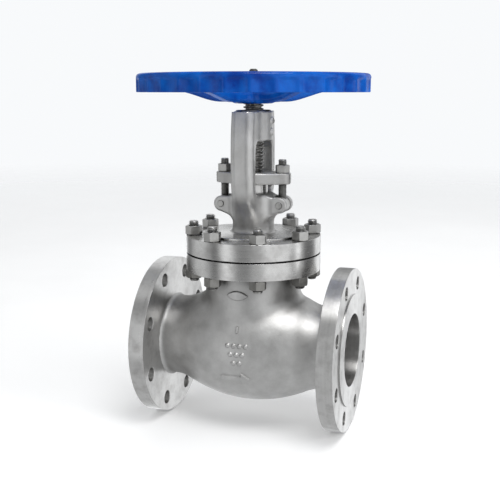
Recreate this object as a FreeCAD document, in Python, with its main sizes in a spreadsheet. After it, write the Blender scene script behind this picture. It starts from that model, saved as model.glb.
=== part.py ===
import FreeCAD, Part
import math
import os
import re
import Sketcher

# A flanged globe valve, DN 100 class 150, with an outside screw and yoke. Lengths are in millimetres.
# The origin is the centre of the inlet's raised face. +X follows the flow to the outlet, +Z follows the
# stem up to the handwheel, and the valve stands closed. Heights are measured from the run's centreline.

DIMENSIONS = {
    # end flanges, to the class 150 standard
    "face_to_face": 292,
    "flange_diameter": 228.6,
    "flange_ring": 22.3,
    "raised_face_diameter": 157.2,
    "raised_face": 2,
    "bolt_circle": 190.5,
    "bolt_hole": 19,
    "bolts_per_flange": 8,
    "port_diameter": 102,
    # cast shell
    "globe_radius": 83.6,
    "globe_arc": 192,
    "end_neck_diameter": 115,
    "shell_wall": 9.6,
    "cover_neck_diameter": 135.2,
    "cover_neck_bore": 118,
    "cover_joint": 131.8,
    "body_cover_flange": 23.8,
    # wall between the inlet and outlet chambers
    "bridge_bottom": 4,
    "bridge_top": 16,
    "bridge_span": 60,
    "bridge_wall": 10,
    "bridge_rise": 60,
    "bridge_lean": 8,
    # seat and disc
    "seat_bore": 98,
    "seat_ring_thread": 110,
    "seat_ring_collar": 116,
    "seat_face": 22,
    "seat_gap": 0.1,
    "disc_diameter": 108,
    "disc_hub": 54,
    "disc_hub_bore": 40,
    "disc_hub_top": 62,
    "disc_nut_shoulder": 44,
    "disc_nut_flats": 38,
    "disc_nut_height": 8,
    # bolted cover joint
    "cover_diameter": 190,
    "cover_bolt_circle": 168,
    "cover_studs": 8,
    "stud_diameter": 14,
    "stud_hole": 16,
    "stud_nut_flats": 21,
    "stud_nut_height": 12.8,
    "stud_overhang": 6.5,
    "gasket_thickness": 1.6,
    "gasket_outer": 146,
    "bonnet_flange": 24,
    "bonnet_platform": 142,
    "platform_top": 161,
    "spigot_depth": 5,
    # stuffing box
    "stuffing_neck": 56.6,
    "stuffing_top": 211,
    "packing_bore": 41,
    "packing_floor": 150,
    "packing_rings": 6,
    "packing_ring_height": 8,
    "packing_gap": 0.1,
    "running_clearance": 0.05,
    "backseat_outer": 44,
    "neck_bush_bore": 32,
    # yoke
    "arm_width": 33.2,
    "arm_rounding": 10,
    "arm_foot": 184,
    "arm_shoulder": 210,
    "arm_shoulder_reach": 53,
    "arm_top_reach": 51.8,
    "arm_bow": 400,
    "window_reach": 39,
    "window_top": 289.6,
    "window_corner": 16,
    "yoke_top": 328.1,
    "yoke_hub": 54,
    # swing bolts and gland
    "lug_reach": 42.4,
    "lug_height": 200.5,
    "lug_radius": 11,
    "lug_foot": 183.7,
    "lug_width": 36,
    "lug_slot": 14,
    "lug_root": 20,
    "hub_boss_radius": 4.5,
    "hub_boss_height": 2,
    "eyebolt_thread": 12,
    "eyebolt_eye": 19.6,
    "eyebolt_eye_width": 12.6,
    "eyebolt_top": 263,
    "eyebolt_pin": 9,
    "gland_nut_flats": 18,
    "gland_nut_height": 10.8,
    "gland_bottom": 229,
    "gland_thickness": 15.7,
    "gland_boss": 60,
    "gland_end_radius": 12,
    "gland_collar_depth": 6,
    "follower_diameter": 40,
    # stem
    "stem_diameter": 28,
    "stem_root": 22.5,
    "stem_pitch": 5,
    "thread_bottom": 246,
    "thread_play": 0.2,
    "stem_collar": 37,
    "stem_collar_top": 100,
    "stem_button": 34,
    "button_bottom": 38,
    "button_height": 7,
    "stem_square": 19,
    "stem_end_thread": 12,
    "stem_end": 385.5,
    # yoke nut
    "yoke_nut_diameter": 40,
    "yoke_nut_collar": 46,
    "yoke_nut_collar_height": 4,
    "set_screw": 6,
    "set_screw_height": 315.5,
    # handwheel
    "wheel_diameter": 320,
    "rim_bottom": 354,
    "rim_top": 379,
    "rim_width": 21,
    "rim_wall": 5,
    "grip_flutes": 32,
    "flute_radius": 42,
    "flute_depth": 2.4,
    "spokes": 5,
    "spoke_width": 17,
    "spoke_depth": 14,
    "spoke_rise": 15,
    "spoke_bend": 58,
    "spoke_level": 106,
    "wheel_hub": 52,
    "hub_bottom": 341,
    "hub_height": 25,
    "washer_thickness": 2.5,
    "washer_diameter": 30,
}

STEM_X = "face_to_face / 2"
RING_FACE = "face_to_face / 2 - raised_face"
FLANGE_BACK = "face_to_face / 2 - raised_face - flange_ring"
BONNET_JOINT = "cover_joint + gasket_thickness"
BONNET_FLANGE_TOP = f"{BONNET_JOINT} + bonnet_flange"
GLAND_TOP = "gland_bottom + gland_thickness"
RIM_OUTER = "wheel_diameter / 2"
RIM_INNER = "wheel_diameter / 2 - rim_width"
STEM_HOLE = "stem_diameter / 2 + running_clearance"
FIRST_STUD = ("cover_bolt_circle / 2 * cos(180 / cover_studs)",
              "cover_bolt_circle / 2 * sin(180 / cover_studs)")
SCREW_END = "yoke_hub / 2 + hub_boss_height + 1"
HALF_STEP = 180 / DIMENSIONS["cover_studs"]

doc = FreeCAD.newDocument("globe_valve")
sheet = doc.addObject("Spreadsheet::Sheet", "dims")
for row, (alias, size) in enumerate(DIMENSIONS.items(), start=1):
    sheet.set(f"A{row}", alias)
    sheet.set(f"B{row}", str(size))
    sheet.setAlias(f"B{row}", alias)
doc.recompute()

nodes = {}


def sized(text):
    """The formula with each dimension's name turned into a reference to the sheet."""
    return re.sub(r"[a-z_]+", lambda word: f"dims.{word[0]}" if word[0] in DIMENSIONS else word[0], str(text))


def number(text):
    return float(sheet.evalExpression(sized(text)))


def bind(thing, **formulas):
    """Bind properties to formulas. A double underscore in a name stands for a dot."""
    for path, text in formulas.items():
        thing.setExpression(path.replace("__", "."), sized(text))
    return thing


def keep(name, thing):
    """Name a finished sub-part."""
    thing.Label = name
    nodes[name] = thing
    return thing


# Sketches, solids and features

def new_body(name, x=STEM_X, y=0, z=0, turn=0, groups=False):
    """A body whose Z axis is the stem's, unless it is placed elsewhere."""
    body = doc.addObject("PartDesign::Body", name)
    body.AllowCompound = groups
    body.Placement.Rotation = FreeCAD.Rotation(FreeCAD.Vector(0, 0, 1), turn)
    return bind(body, Placement__Base__x=x, Placement__Base__y=y, Placement__Base__z=z)


def origin_feature(body, role):
    return next(item for item in body.Origin.OriginFeatures if item.Role == role)


def new_sketch(body, name, plane, across=0, up=0, out=0):
    """A sketch on one of the body's own planes, its origin moved within the plane and out of it."""
    sketch = body.newObject("Sketcher::SketchObject", name)
    sketch.AttachmentSupport = [(origin_feature(body, f"{plane}_Plane"), "")]
    sketch.MapMode = "FlatFace"
    return bind(sketch, AttachmentOffset__Base__x=across, AttachmentOffset__Base__y=up,
                AttachmentOffset__Base__z=out)


def fix_point(sketch, side, end, across, up):
    for kind, text in (("DistanceX", across), ("DistanceY", up)):
        if str(text) == "0":
            axis = -2 if kind == "DistanceX" else -1
            sketch.addConstraint(Sketcher.Constraint("PointOnObject", side, end, axis))
        else:
            spot = sketch.addConstraint(Sketcher.Constraint(kind, -1, 1, side, end, number(text)))
            sketch.setExpression(f"Constraints[{spot}]", sized(text))


def middle_of_arc(start, end, radius):
    """The point halfway along the arc that leaves the straight side on its left, or right if negative."""
    chord = end - start
    half = chord.Length / 2
    left = FreeCAD.Vector(-chord.y, chord.x, 0).normalize()
    rise = abs(radius) - math.sqrt(radius ** 2 - half ** 2)
    return (start + end) * 0.5 + left * math.copysign(rise, radius)


def draw_outline(sketch, corners):
    """Draw a closed outline. A corner is (across, up), or (across, up, radius) where an arc follows it."""
    points = [FreeCAD.Vector(number(corner[0]), number(corner[1]), 0) for corner in corners]
    sides = []
    for index, corner in enumerate(corners):
        start, end = points[index], points[(index + 1) % len(points)]
        if len(corner) == 3:
            radius = number(corner[2])
            edge = Part.Arc(start, middle_of_arc(start, end, radius), end)
        else:
            edge = Part.LineSegment(start, end)
        sides.append(sketch.addGeometry(edge, False))

    def end_at(side, point):
        return min((1, 2), key=lambda end: (sketch.getPoint(side, end) - point).Length)

    for index, corner in enumerate(corners):
        side, before = sides[index], sides[index - 1]
        here = end_at(side, points[index])
        sketch.addConstraint(
            Sketcher.Constraint("Coincident", before, end_at(before, points[index]), side, here))
        fix_point(sketch, side, here, corner[0], corner[1])
        if len(corner) == 3:
            spot = sketch.addConstraint(Sketcher.Constraint("Radius", side, abs(number(corner[2]))))
            sketch.setExpression(f"Constraints[{spot}]", sized(str(corner[2]).lstrip("-")))


def draw_circle(sketch, across, up, radius):
    centre = FreeCAD.Vector(number(across), number(up), 0)
    side = sketch.addGeometry(Part.Circle(centre, FreeCAD.Vector(0, 0, 1), number(radius)), False)
    fix_point(sketch, side, 3, across, up)
    spot = sketch.addConstraint(Sketcher.Constraint("Radius", side, number(radius)))
    sketch.setExpression(f"Constraints[{spot}]", sized(radius))


def add_feature(body, kind, name, profile, **formulas):
    feature = body.newObject(f"PartDesign::{kind}", name)
    feature.Profile = profile
    bind(feature, **formulas)
    return feature


def revolve(body, name, corners, around="V_Axis", cut=False, **place):
    """Turn an outline drawn on the XZ plane about the sketch's upright or level axis."""
    sketch = new_sketch(body, f"{name}_outline", "XZ", **place)
    draw_outline(sketch, corners)
    feature = add_feature(body, "Groove" if cut else "Revolution", name, sketch)
    feature.ReferenceAxis = (sketch, [around])
    feature.Angle = 360
    doc.recompute()
    return feature


def pad(body, name, plane, corners, length, midplane=False, cut=False, **place):
    """Extrude an outline, or cut it away, along the plane's normal."""
    sketch = new_sketch(body, f"{name}_outline", plane, **place)
    draw_outline(sketch, corners)
    feature = add_feature(body, "Pocket" if cut else "Pad", name, sketch, Length=length)
    feature.Midplane = midplane
    doc.recompute()
    return feature


def drill(body, name, plane, across, up, radius, depth, midplane=False, **place):
    """Cut a round hole against the plane's normal."""
    sketch = new_sketch(body, f"{name}_outline", plane, **place)
    draw_circle(sketch, across, up, radius)
    feature = add_feature(body, "Pocket", name, sketch, Length=depth)
    feature.Midplane = midplane
    doc.recompute()
    return feature


def repeat_around(body, name, features, count, axis="Z_Axis"):
    """Repeat the features evenly about one of the body's axes."""
    pattern = body.newObject("PartDesign::PolarPattern", name)
    pattern.Originals = features
    pattern.Axis = (origin_feature(body, axis), [""])
    pattern.Angle = 360
    bind(pattern, Occurrences=count)
    body.Tip = pattern
    doc.recompute()
    return pattern


def dress(body, kind, name, size, chosen):
    """Fillet or chamfer the edges of the body that the test chooses."""
    solid = body.Tip
    edges = [f"Edge{place}" for place, edge in enumerate(solid.Shape.Edges, start=1) if chosen(edge)]
    if not edges:
        raise ValueError(f"{name} chooses no edge")
    feature = body.newObject(f"PartDesign::{kind}", name)
    feature.Base = (solid, edges)
    bind(feature, **{"Radius" if kind == "Fillet" else "Size": size})
    doc.recompute()
    return feature


def circles(axis, *rings):
    """A test for whole circles about a body axis, each given by its place along the axis and its radius."""
    def same(value, text):
        return abs(value - number(text)) < 0.01

    def chosen(edge):
        if not isinstance(edge.Curve, Part.Circle):
            return False
        centre = edge.Curve.Center
        centred = all(same(getattr(centre, other), "0") for other in "xyz" if other != axis)
        return centred and any(same(getattr(centre, axis), place) and same(edge.Curve.Radius, radius)
                               for place, radius in rings)
    return chosen


def within(low, high):
    """A test for edges that lie wholly inside a box."""
    box = FreeCAD.BoundBox(*low, *high)
    return lambda edge: box.isInside(edge.BoundBox)


def cut(name, base, tool):
    result = doc.addObject("Part::Cut", name)
    result.Base, result.Tool = base, tool
    doc.recompute()
    return result


def hexagon(flats, across=0):
    """The corners of a hexagon, first corner on the level axis."""
    reach = f"({flats}) / 2 / cos(30)"
    return [(f"{across} + {reach} * {math.cos(math.radians(step)):.6f}",
             f"{reach} * {math.sin(math.radians(step)):.6f}") for step in range(0, 360, 60)]


def hex_nut(body, name, flats, height, bore, across=0, bottom=0):
    """A nut with both faces chamfered, on an axis moved along the body's X."""
    blank = pad(body, name, "XY", hexagon(flats, across), height, out=bottom)
    hole = drill(body, f"{name}_bore", "XY", across, 0, bore, height, out=f"({bottom}) + {height}")
    corner, flat, drop = f"({flats}) * 0.6", f"({flats}) * 0.475", f"({flats}) * 0.06"
    chamfers = []
    for face, end, inward in (("lower", f"{bottom}", 1), ("upper", f"({bottom}) + {height}", -1)):
        outline = [(flat, end), (corner, end), (corner, f"{end} + {inward} * {drop}")]
        chamfers.append(revolve(body, f"{name}_{face}_chamfer", outline, cut=True, across=across))
    return [blank, hole, *chamfers]


# Valve body, seat and disc

def globe_profile(wall, end, port):
    """Half of the section of the globe and its necks, as an outline about the run."""
    arc = f"globe_arc - {wall}"
    centre = "(globe_arc - globe_radius)"
    meet = f"sqrt(({arc}) ^ 2 - ({port} + {centre}) ^ 2)"
    return [(f"-({end})", "0"), (f"-({end})", port), (f"-{meet}", port, arc), (meet, port), (end, port),
            (end, "0")]


def make_body():
    outside = new_body("shell_outside")
    neck = "end_neck_diameter / 2"
    revolve(outside, "run", globe_profile("0", FLANGE_BACK, neck), around="H_Axis")
    meet = f"sqrt(globe_arc ^ 2 - ({neck} + globe_arc - globe_radius) ^ 2)"
    dress(outside, "Fillet", "globe_to_necks", 22, circles("x", (meet, neck), (f"-{meet}", neck)))
    flange_bottom = "cover_joint - body_cover_flange"
    revolve(outside, "cover_neck", [("0", "0"), ("cover_neck_diameter / 2", "0"),
            ("cover_neck_diameter / 2", flange_bottom), ("cover_diameter / 2", flange_bottom),
            ("cover_diameter / 2", "cover_joint"), ("0", "cover_joint")])
    crotch = within((-75, -75, 40), (75, 75, 90))
    dress(outside, "Fillet", "neck_to_globe", 9, crotch)
    for side, sign in (("inlet", -1), ("outlet", 1)):
        outline = [(f"{sign} * ({FLANGE_BACK})", "0"), (f"{sign} * ({FLANGE_BACK})", "flange_diameter / 2"),
                   (f"{sign} * ({RING_FACE})", "flange_diameter / 2"),
                   (f"{sign} * ({RING_FACE})", "raised_face_diameter / 2"),
                   (f"{sign} * face_to_face / 2", "raised_face_diameter / 2"),
                   (f"{sign} * face_to_face / 2", "0")]
        revolve(outside, f"{side}_flange", outline, around="H_Axis")
        dress(outside, "Fillet", f"{side}_flange_root", 9, circles("x", (f"{sign} * ({FLANGE_BACK})", neck)))
        rims = [(f"{sign} * ({place})", "flange_diameter / 2") for place in (FLANGE_BACK, RING_FACE)]
        dress(outside, "Chamfer", f"{side}_flange_rims", 1, circles("x", *rims))
    dress(outside, "Fillet", "cover_flange_root", 3.5,
          circles("z", (flange_bottom, "cover_neck_diameter / 2")))
    dress(outside, "Chamfer", "cover_flange_rims", 1,
          circles("z", (flange_bottom, "cover_diameter / 2"), ("cover_joint", "cover_diameter / 2")))
    depth = "flange_ring + raised_face"
    half_step = "(180 / bolts_per_flange)"
    first_hole = (f"bolt_circle / 2 * cos{half_step}", f"bolt_circle / 2 * sin{half_step}", "bolt_hole / 2")
    ends = [drill(outside, "outlet_bolt_hole", "YZ", *first_hole, depth, out="face_to_face / 2"),
            drill(outside, "inlet_bolt_hole", "YZ", *first_hole, depth, out=f"-({FLANGE_BACK})")]
    repeat_around(outside, "end_bolt_holes", ends, "bolts_per_flange", "X_Axis")
    stud_hole = drill(outside, "cover_stud_hole", "XY", *FIRST_STUD, "stud_hole / 2", "body_cover_flange",
                      out="cover_joint")
    repeat_around(outside, "cover_stud_holes", [stud_hole], "cover_studs")

    chamber = new_body("chamber")
    revolve(chamber, "waterway", globe_profile("shell_wall", "face_to_face / 2 + 1", "port_diameter / 2"),
            around="H_Axis")
    revolve(chamber, "access", [("0", "0"), ("cover_neck_bore / 2", "0"),
            ("cover_neck_bore / 2", "cover_joint + 1"), ("0", "cover_joint + 1")])

    # the wall climbs from the bridge to the roof on the inlet side and drops to the floor on the other
    bridge = new_body("bridge")
    near, far = "bridge_span", "(bridge_span + bridge_wall)"
    reach = "bridge_lean"
    outline = [(f"-{near} - {reach}", "bridge_top + bridge_rise"),
               (f"-{near}", "bridge_top"), (far, "bridge_top"),
               (f"{far} + {reach}", "bridge_bottom - bridge_rise - bridge_wall"),
               (f"{near} + {reach}", "bridge_bottom - bridge_rise - bridge_wall"),
               (near, "bridge_bottom"), (f"-{far}", "bridge_bottom"),
               (f"-{far} - {reach}", "bridge_top + bridge_rise")]
    pad(bridge, "bridge_wall_solid", "XZ", outline, "globe_radius * 2", midplane=True)
    shell = cut("divided_shell", outside, cut("two_chambers", chamber, bridge))
    opening = new_body("seat_opening")
    revolve(opening, "seat_thread", [
        ("0", "bridge_bottom - 1"), ("seat_ring_thread / 2", "bridge_bottom - 1"),
        ("seat_ring_thread / 2", "bridge_top"), ("cover_neck_bore / 2", "bridge_top"),
        ("cover_neck_bore / 2", "seat_face"), ("0", "seat_face")])
    keep("body", cut("body", shell, opening))


def make_seat_and_disc():
    ring = new_body("seat_ring_body")
    revolve(ring, "seat_ring_turned", [
        ("seat_bore / 2", "bridge_bottom"), ("seat_ring_thread / 2", "bridge_bottom"),
        ("seat_ring_thread / 2", "bridge_top"), ("seat_ring_collar / 2", "bridge_top"),
        ("seat_ring_collar / 2", "seat_face - 3"), ("seat_ring_collar / 2 - 3", "seat_face"),
        ("seat_bore / 2", "seat_face")])
    keep("seat_ring", ring)

    hub, bore, plate_bottom = "disc_hub / 2", "disc_hub_bore / 2", "button_bottom - 3"
    disc = new_body("disc_body")
    revolve(disc, "disc_turned", [
        ("0", "seat_face - 6"), ("seat_bore / 2 - 3", "seat_face - 6"),
        ("seat_bore / 2 - 1", "seat_face + seat_gap"), ("disc_diameter / 2", "seat_face + seat_gap"),
        ("disc_diameter / 2", "seat_face + 7"), (hub, "seat_face + 13"), (hub, "disc_hub_top"),
        (bore, "disc_hub_top"), (bore, plate_bottom), ("0", plate_bottom)])
    keep("disc", disc)

    plate = new_body("thrust_plate_body")
    revolve(plate, "thrust_plate_turned", [
        ("0", plate_bottom), ("stem_button / 2", plate_bottom),
        ("stem_button / 2", "button_bottom - seat_gap"), ("0", "button_bottom - seat_gap")])
    keep("disc_thrust_plate", plate)

    nut = new_body("disc_nut_body")
    lowest, stem_way = "button_bottom + button_height + seat_gap", "stem_diameter / 2 + seat_gap"
    shoulder = "disc_nut_shoulder / 2"
    revolve(nut, "disc_nut_turned", [
        (stem_way, lowest), (bore, lowest), (bore, "disc_hub_top"), (shoulder, "disc_hub_top"),
        (shoulder, "disc_hub_top + 1"), (stem_way, "disc_hub_top + 1")])
    pad(nut, "disc_nut_hexagon", "XY", hexagon("disc_nut_flats"), "disc_nut_height", out="disc_hub_top")
    drill(nut, "disc_nut_bore", "XY", 0, 0, stem_way, "disc_nut_height", out="disc_hub_top + disc_nut_height")
    keep("disc_nut", nut)


# Bonnet with its yoke, and what the bonnet holds

def make_bonnet():
    bonnet = new_body("bonnet_body")
    revolve(bonnet, "cover_and_neck", [("0", "cover_joint - spigot_depth"),
            ("cover_neck_bore / 2 - 0.3", "cover_joint - spigot_depth"),
            ("cover_neck_bore / 2 - 0.3", BONNET_JOINT), ("cover_diameter / 2", BONNET_JOINT),
            ("cover_diameter / 2", BONNET_FLANGE_TOP), ("bonnet_platform / 2", BONNET_FLANGE_TOP),
            ("bonnet_platform / 2", "platform_top"), ("stuffing_neck / 2", "platform_top"),
            ("stuffing_neck / 2", "stuffing_top"), ("0", "stuffing_top")])
    dress(bonnet, "Fillet", "neck_root", 8, circles("z", ("platform_top", "stuffing_neck / 2")))
    dress(bonnet, "Fillet", "platform_edge", 2.5, circles("z", ("platform_top", "bonnet_platform / 2")))
    dress(bonnet, "Chamfer", "cover_rims", 1,
          circles("z", (BONNET_JOINT, "cover_diameter / 2"), (BONNET_FLANGE_TOP, "cover_diameter / 2")))

    foot = "stuffing_neck / 2 - 3"
    outline = [(f"-({foot})", "arm_foot"), (foot, "arm_foot"),
               ("arm_shoulder_reach", "arm_shoulder", "-arm_bow"), ("arm_top_reach", "yoke_top"),
               ("-arm_top_reach", "yoke_top", "-arm_bow"), ("-arm_shoulder_reach", "arm_shoulder")]
    pad(bonnet, "yoke_blank", "YZ", outline, "arm_width", midplane=True)
    dress(bonnet, "Fillet", "yoke_edges", "arm_rounding",
          lambda edge: abs(edge.BoundBox.XLength) < 0.01 and edge.BoundBox.ZMin > number("arm_foot") + 2
          and edge.BoundBox.ZLength > 5)
    window = [("-window_reach + window_corner", "stuffing_top"),
              ("window_reach - window_corner", "stuffing_top", "-window_corner"),
              ("window_reach", "stuffing_top + window_corner"),
              ("window_reach", "window_top - window_corner", "-window_corner"),
              ("window_reach - window_corner", "window_top"),
              ("-window_reach + window_corner", "window_top", "-window_corner"),
              ("-window_reach", "window_top - window_corner"),
              ("-window_reach", "stuffing_top + window_corner", "-window_corner")]
    pad(bonnet, "yoke_window", "YZ", window, "stuffing_neck * 2", midplane=True, cut=True)
    revolve(bonnet, "yoke_hub_turned", [("0", "window_top"), ("yoke_hub / 2", "window_top"),
            ("yoke_hub / 2", "yoke_top"), ("0", "yoke_top")])
    for name, height in (("set_screw_boss", "set_screw_height"), ("lower_boss", "set_screw_height - 15")):
        sketch = new_sketch(bonnet, f"{name}_outline", "YZ", out="yoke_hub / 2 - 4")
        draw_circle(sketch, "0", height, "hub_boss_radius")
        add_feature(bonnet, "Pad", name, sketch, Length="hub_boss_height + 4")
        doc.recompute()

    for side, sign in (("right", 1), ("left", -1)):
        root, top = f"{sign} * lug_root", "lug_height + lug_radius"
        lug = [(root, "lug_foot - 3"),
               (f"{sign} * (lug_reach + lug_radius * 0.6)", "lug_height - lug_radius * 0.8",
                f"{-sign} * lug_radius"),
               (f"{sign} * lug_reach", top), (root, top)]
        pad(bonnet, f"{side}_lug", "XZ", lug, "lug_width", midplane=True)
        near, far = f"{sign} * (lug_reach - lug_radius - 1)", f"{sign} * (lug_reach + lug_radius + 6)"
        slot = [(near, "lug_foot - 9"), (far, "lug_foot - 9"), (far, f"{top} + 4"), (near, f"{top} + 4")]
        pad(bonnet, f"{side}_slot", "XZ", slot, "lug_slot", midplane=True, cut=True)
        drill(bonnet, f"{side}_pin_hole", "XZ", f"{sign} * lug_reach", "lug_height", "eyebolt_pin / 2",
              "lug_width", midplane=True)

    backseat, bush = "backseat_outer / 2", "neck_bush_bore / 2"
    revolve(bonnet, "stem_way", [
        ("0", "cover_joint - spigot_depth"), (backseat, "cover_joint - spigot_depth"),
        (backseat, "packing_floor - 6"), (bush, "packing_floor - 6"), (bush, "packing_floor"),
        ("packing_bore / 2", "packing_floor"), ("packing_bore / 2", "stuffing_top"), ("0", "stuffing_top")],
        cut=True)
    revolve(bonnet, "yoke_nut_way", [("0", "window_top"), ("yoke_nut_diameter / 2", "window_top"),
            ("yoke_nut_diameter / 2", "yoke_top - yoke_nut_collar_height"),
            ("yoke_nut_collar / 2", "yoke_top - yoke_nut_collar_height"), ("yoke_nut_collar / 2", "yoke_top"),
            ("0", "yoke_top")], cut=True)
    drill(bonnet, "set_screw_hole", "YZ", 0, "set_screw_height", "set_screw / 2",
          f"{SCREW_END} - yoke_nut_diameter / 2 + 3", out=SCREW_END)
    stud_hole = drill(bonnet, "stud_hole_first", "XY", *FIRST_STUD, "stud_hole / 2", "bonnet_flange",
                      out=BONNET_FLANGE_TOP)
    repeat_around(bonnet, "stud_holes", [stud_hole], "cover_studs")
    keep("bonnet", bonnet)


def make_cover_joint():
    gasket = new_body("gasket_body")
    inner, outer = "cover_neck_bore / 2 + 1", "gasket_outer / 2"
    revolve(gasket, "gasket_ring", [(inner, "cover_joint"), (outer, "cover_joint"), (outer, BONNET_JOINT),
            (inner, BONNET_JOINT)])
    keep("bonnet_gasket", gasket)

    circle, low = "cover_bolt_circle / 2", "cover_joint - body_cover_flange"
    studs = new_body("studs_body", turn=HALF_STEP, groups=True)
    bottom = f"{low} - stud_nut_height - stud_overhang + 2"
    top = f"{BONNET_FLANGE_TOP} + stud_nut_height + stud_overhang"
    first = revolve(studs, "stud", [("0", bottom), ("stud_diameter / 2 - 1", bottom),
                    ("stud_diameter / 2", f"{bottom} + 1"), ("stud_diameter / 2", f"{top} - 1"),
                    ("stud_diameter / 2 - 1", top), ("0", top)], across=circle)
    repeat_around(studs, "studs_ring", [first], "cover_studs")
    keep("bonnet_studs", studs)

    for name, seat in (("bonnet_nuts_upper", BONNET_FLANGE_TOP),
                       ("bonnet_nuts_lower", f"{low} - stud_nut_height")):
        nuts = new_body(f"{name}_body", turn=HALF_STEP, groups=True)
        features = hex_nut(nuts, f"{name}_first", "stud_nut_flats", "stud_nut_height", "stud_diameter / 2",
                           circle, seat)
        repeat_around(nuts, f"{name}_ring", features, "cover_studs")
        keep(name, nuts)


def make_stuffing_box():
    bush = new_body("backseat_body")
    low = "cover_joint - spigot_depth"
    outer = "backseat_outer / 2"
    revolve(bush, "backseat_turned", [(STEM_HOLE, f"{low} + 4"), (f"{outer} - 4", low), (outer, low),
            (outer, "packing_floor - 6"), (STEM_HOLE, "packing_floor - 6")])
    keep("backseat_bushing", bush)

    washer = new_body("packing_washer_body")
    revolve(washer, "packing_washer_turned", [(STEM_HOLE, "packing_floor"),
            ("packing_bore / 2 - packing_gap", "packing_floor"),
            ("packing_bore / 2 - packing_gap", "packing_floor + 3"), (STEM_HOLE, "packing_floor + 3")])
    keep("packing_washer", washer)
    for place in range(int(DIMENSIONS["packing_rings"])):
        low = f"packing_floor + 3 + {place} * packing_ring_height"
        ring = new_body(f"packing_ring_{place + 1}_body")
        revolve(ring, f"packing_ring_{place + 1}_turned", [(STEM_HOLE, low),
                ("packing_bore / 2 - packing_gap", low),
                ("packing_bore / 2 - packing_gap", f"{low} + packing_ring_height"),
                (STEM_HOLE, f"{low} + packing_ring_height")])
        keep(f"packing_ring_{place + 1}", ring)


def make_gland():
    packing_top = "packing_floor + 3 + packing_rings * packing_ring_height"
    collar = "gland_bottom + gland_collar_depth"
    follower = new_body("follower_body")
    revolve(follower, "follower_turned", [("stem_diameter / 2 + 0.5", packing_top),
            ("follower_diameter / 2", packing_top), ("follower_diameter / 2", collar),
            ("stem_diameter / 2 + 0.5", collar)])
    keep("gland_follower", follower)

    # the plate narrows from a round boss to a rounded end at each swing bolt
    flange = new_body("gland_flange_body")
    boss, tip, span = "(gland_boss / 2)", "gland_end_radius", "lug_reach"
    lean = math.asin((number(boss) - number(tip)) / number(span))
    sine, cosine = f"{math.sin(lean):.6f}", f"{math.cos(lean):.6f}"
    corners = []
    for across, up in ((1, 1), (-1, 1), (-1, -1), (1, -1)):
        first = (f"{across} * {boss} * {sine}", f"{up} * {boss} * {cosine}")
        second = (f"{across} * ({span} + {tip} * {sine})", f"{up} * {tip} * {cosine}")
        corners += [second, (*first, f"-{boss}")] if across * up > 0 else [first, (*second, f"-{tip}")]
    pad(flange, "gland_plate", "XY", corners, "gland_thickness", out="gland_bottom")
    dress(flange, "Fillet", "gland_plate_edge", 2, lambda edge: edge.BoundBox.ZLength < 0.01)
    seat, stem_way = "follower_diameter / 2 + 0.1", "stem_diameter / 2 + 1"
    revolve(flange, "gland_way", [
        ("0", "gland_bottom - 1"), (seat, "gland_bottom - 1"), (seat, collar), (stem_way, collar),
        (stem_way, f"{GLAND_TOP} + 1"), ("0", f"{GLAND_TOP} + 1")], cut=True)
    for side, sign in (("right", 1), ("left", -1)):
        drill(flange, f"{side}_bolt_way", "XY", f"{sign} * lug_reach", 0, "eyebolt_thread / 2 + 0.6",
              "gland_thickness + 2", out=f"{GLAND_TOP} + 1")
    keep("gland_flange", flange)

    for side, sign in (("right", 1), ("left", -1)):
        across = f"{STEM_X} + {sign} * lug_reach"
        bolt = new_body(f"eyebolt_{side}_body", x=across)
        revolve(bolt, f"eyebolt_{side}_shank", [("0", "lug_height"), ("eyebolt_thread / 2", "lug_height"),
                ("eyebolt_thread / 2", "eyebolt_top - 1"), ("eyebolt_thread / 2 - 1", "eyebolt_top"),
                ("0", "eyebolt_top")])
        sketch = new_sketch(bolt, f"eyebolt_{side}_eye_outline", "XZ")
        draw_circle(sketch, "0", "lug_height", "eyebolt_eye / 2")
        eye = add_feature(bolt, "Pad", f"eyebolt_{side}_eye", sketch, Length="eyebolt_eye_width")
        eye.Midplane = True
        doc.recompute()
        drill(bolt, f"eyebolt_{side}_hole", "XZ", 0, "lug_height", "eyebolt_pin / 2", "eyebolt_eye_width * 2",
              midplane=True)
        keep(f"eyebolt_{side}", bolt)

        pin = new_body(f"eyebolt_pin_{side}_body", x=across)
        sketch = new_sketch(pin, f"eyebolt_pin_{side}_outline", "XZ")
        draw_circle(sketch, "0", "lug_height", "eyebolt_pin / 2")
        rod = add_feature(pin, "Pad", f"eyebolt_pin_{side}_rod", sketch, Length="lug_width + 3")
        rod.Midplane = True
        doc.recompute()
        dress(pin, "Chamfer", f"eyebolt_pin_{side}_ends", 0.8, lambda edge: edge.BoundBox.YLength < 0.01)
        keep(f"eyebolt_pin_{side}", pin)

        nut = new_body(f"gland_nut_{side}_body", x=across)
        hex_nut(nut, f"gland_nut_{side}_solid", "gland_nut_flats", "gland_nut_height",
                "eyebolt_thread / 2 + running_clearance", bottom=GLAND_TOP)
        keep(f"gland_nut_{side}", nut)


# Stem, yoke nut and handwheel

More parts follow.
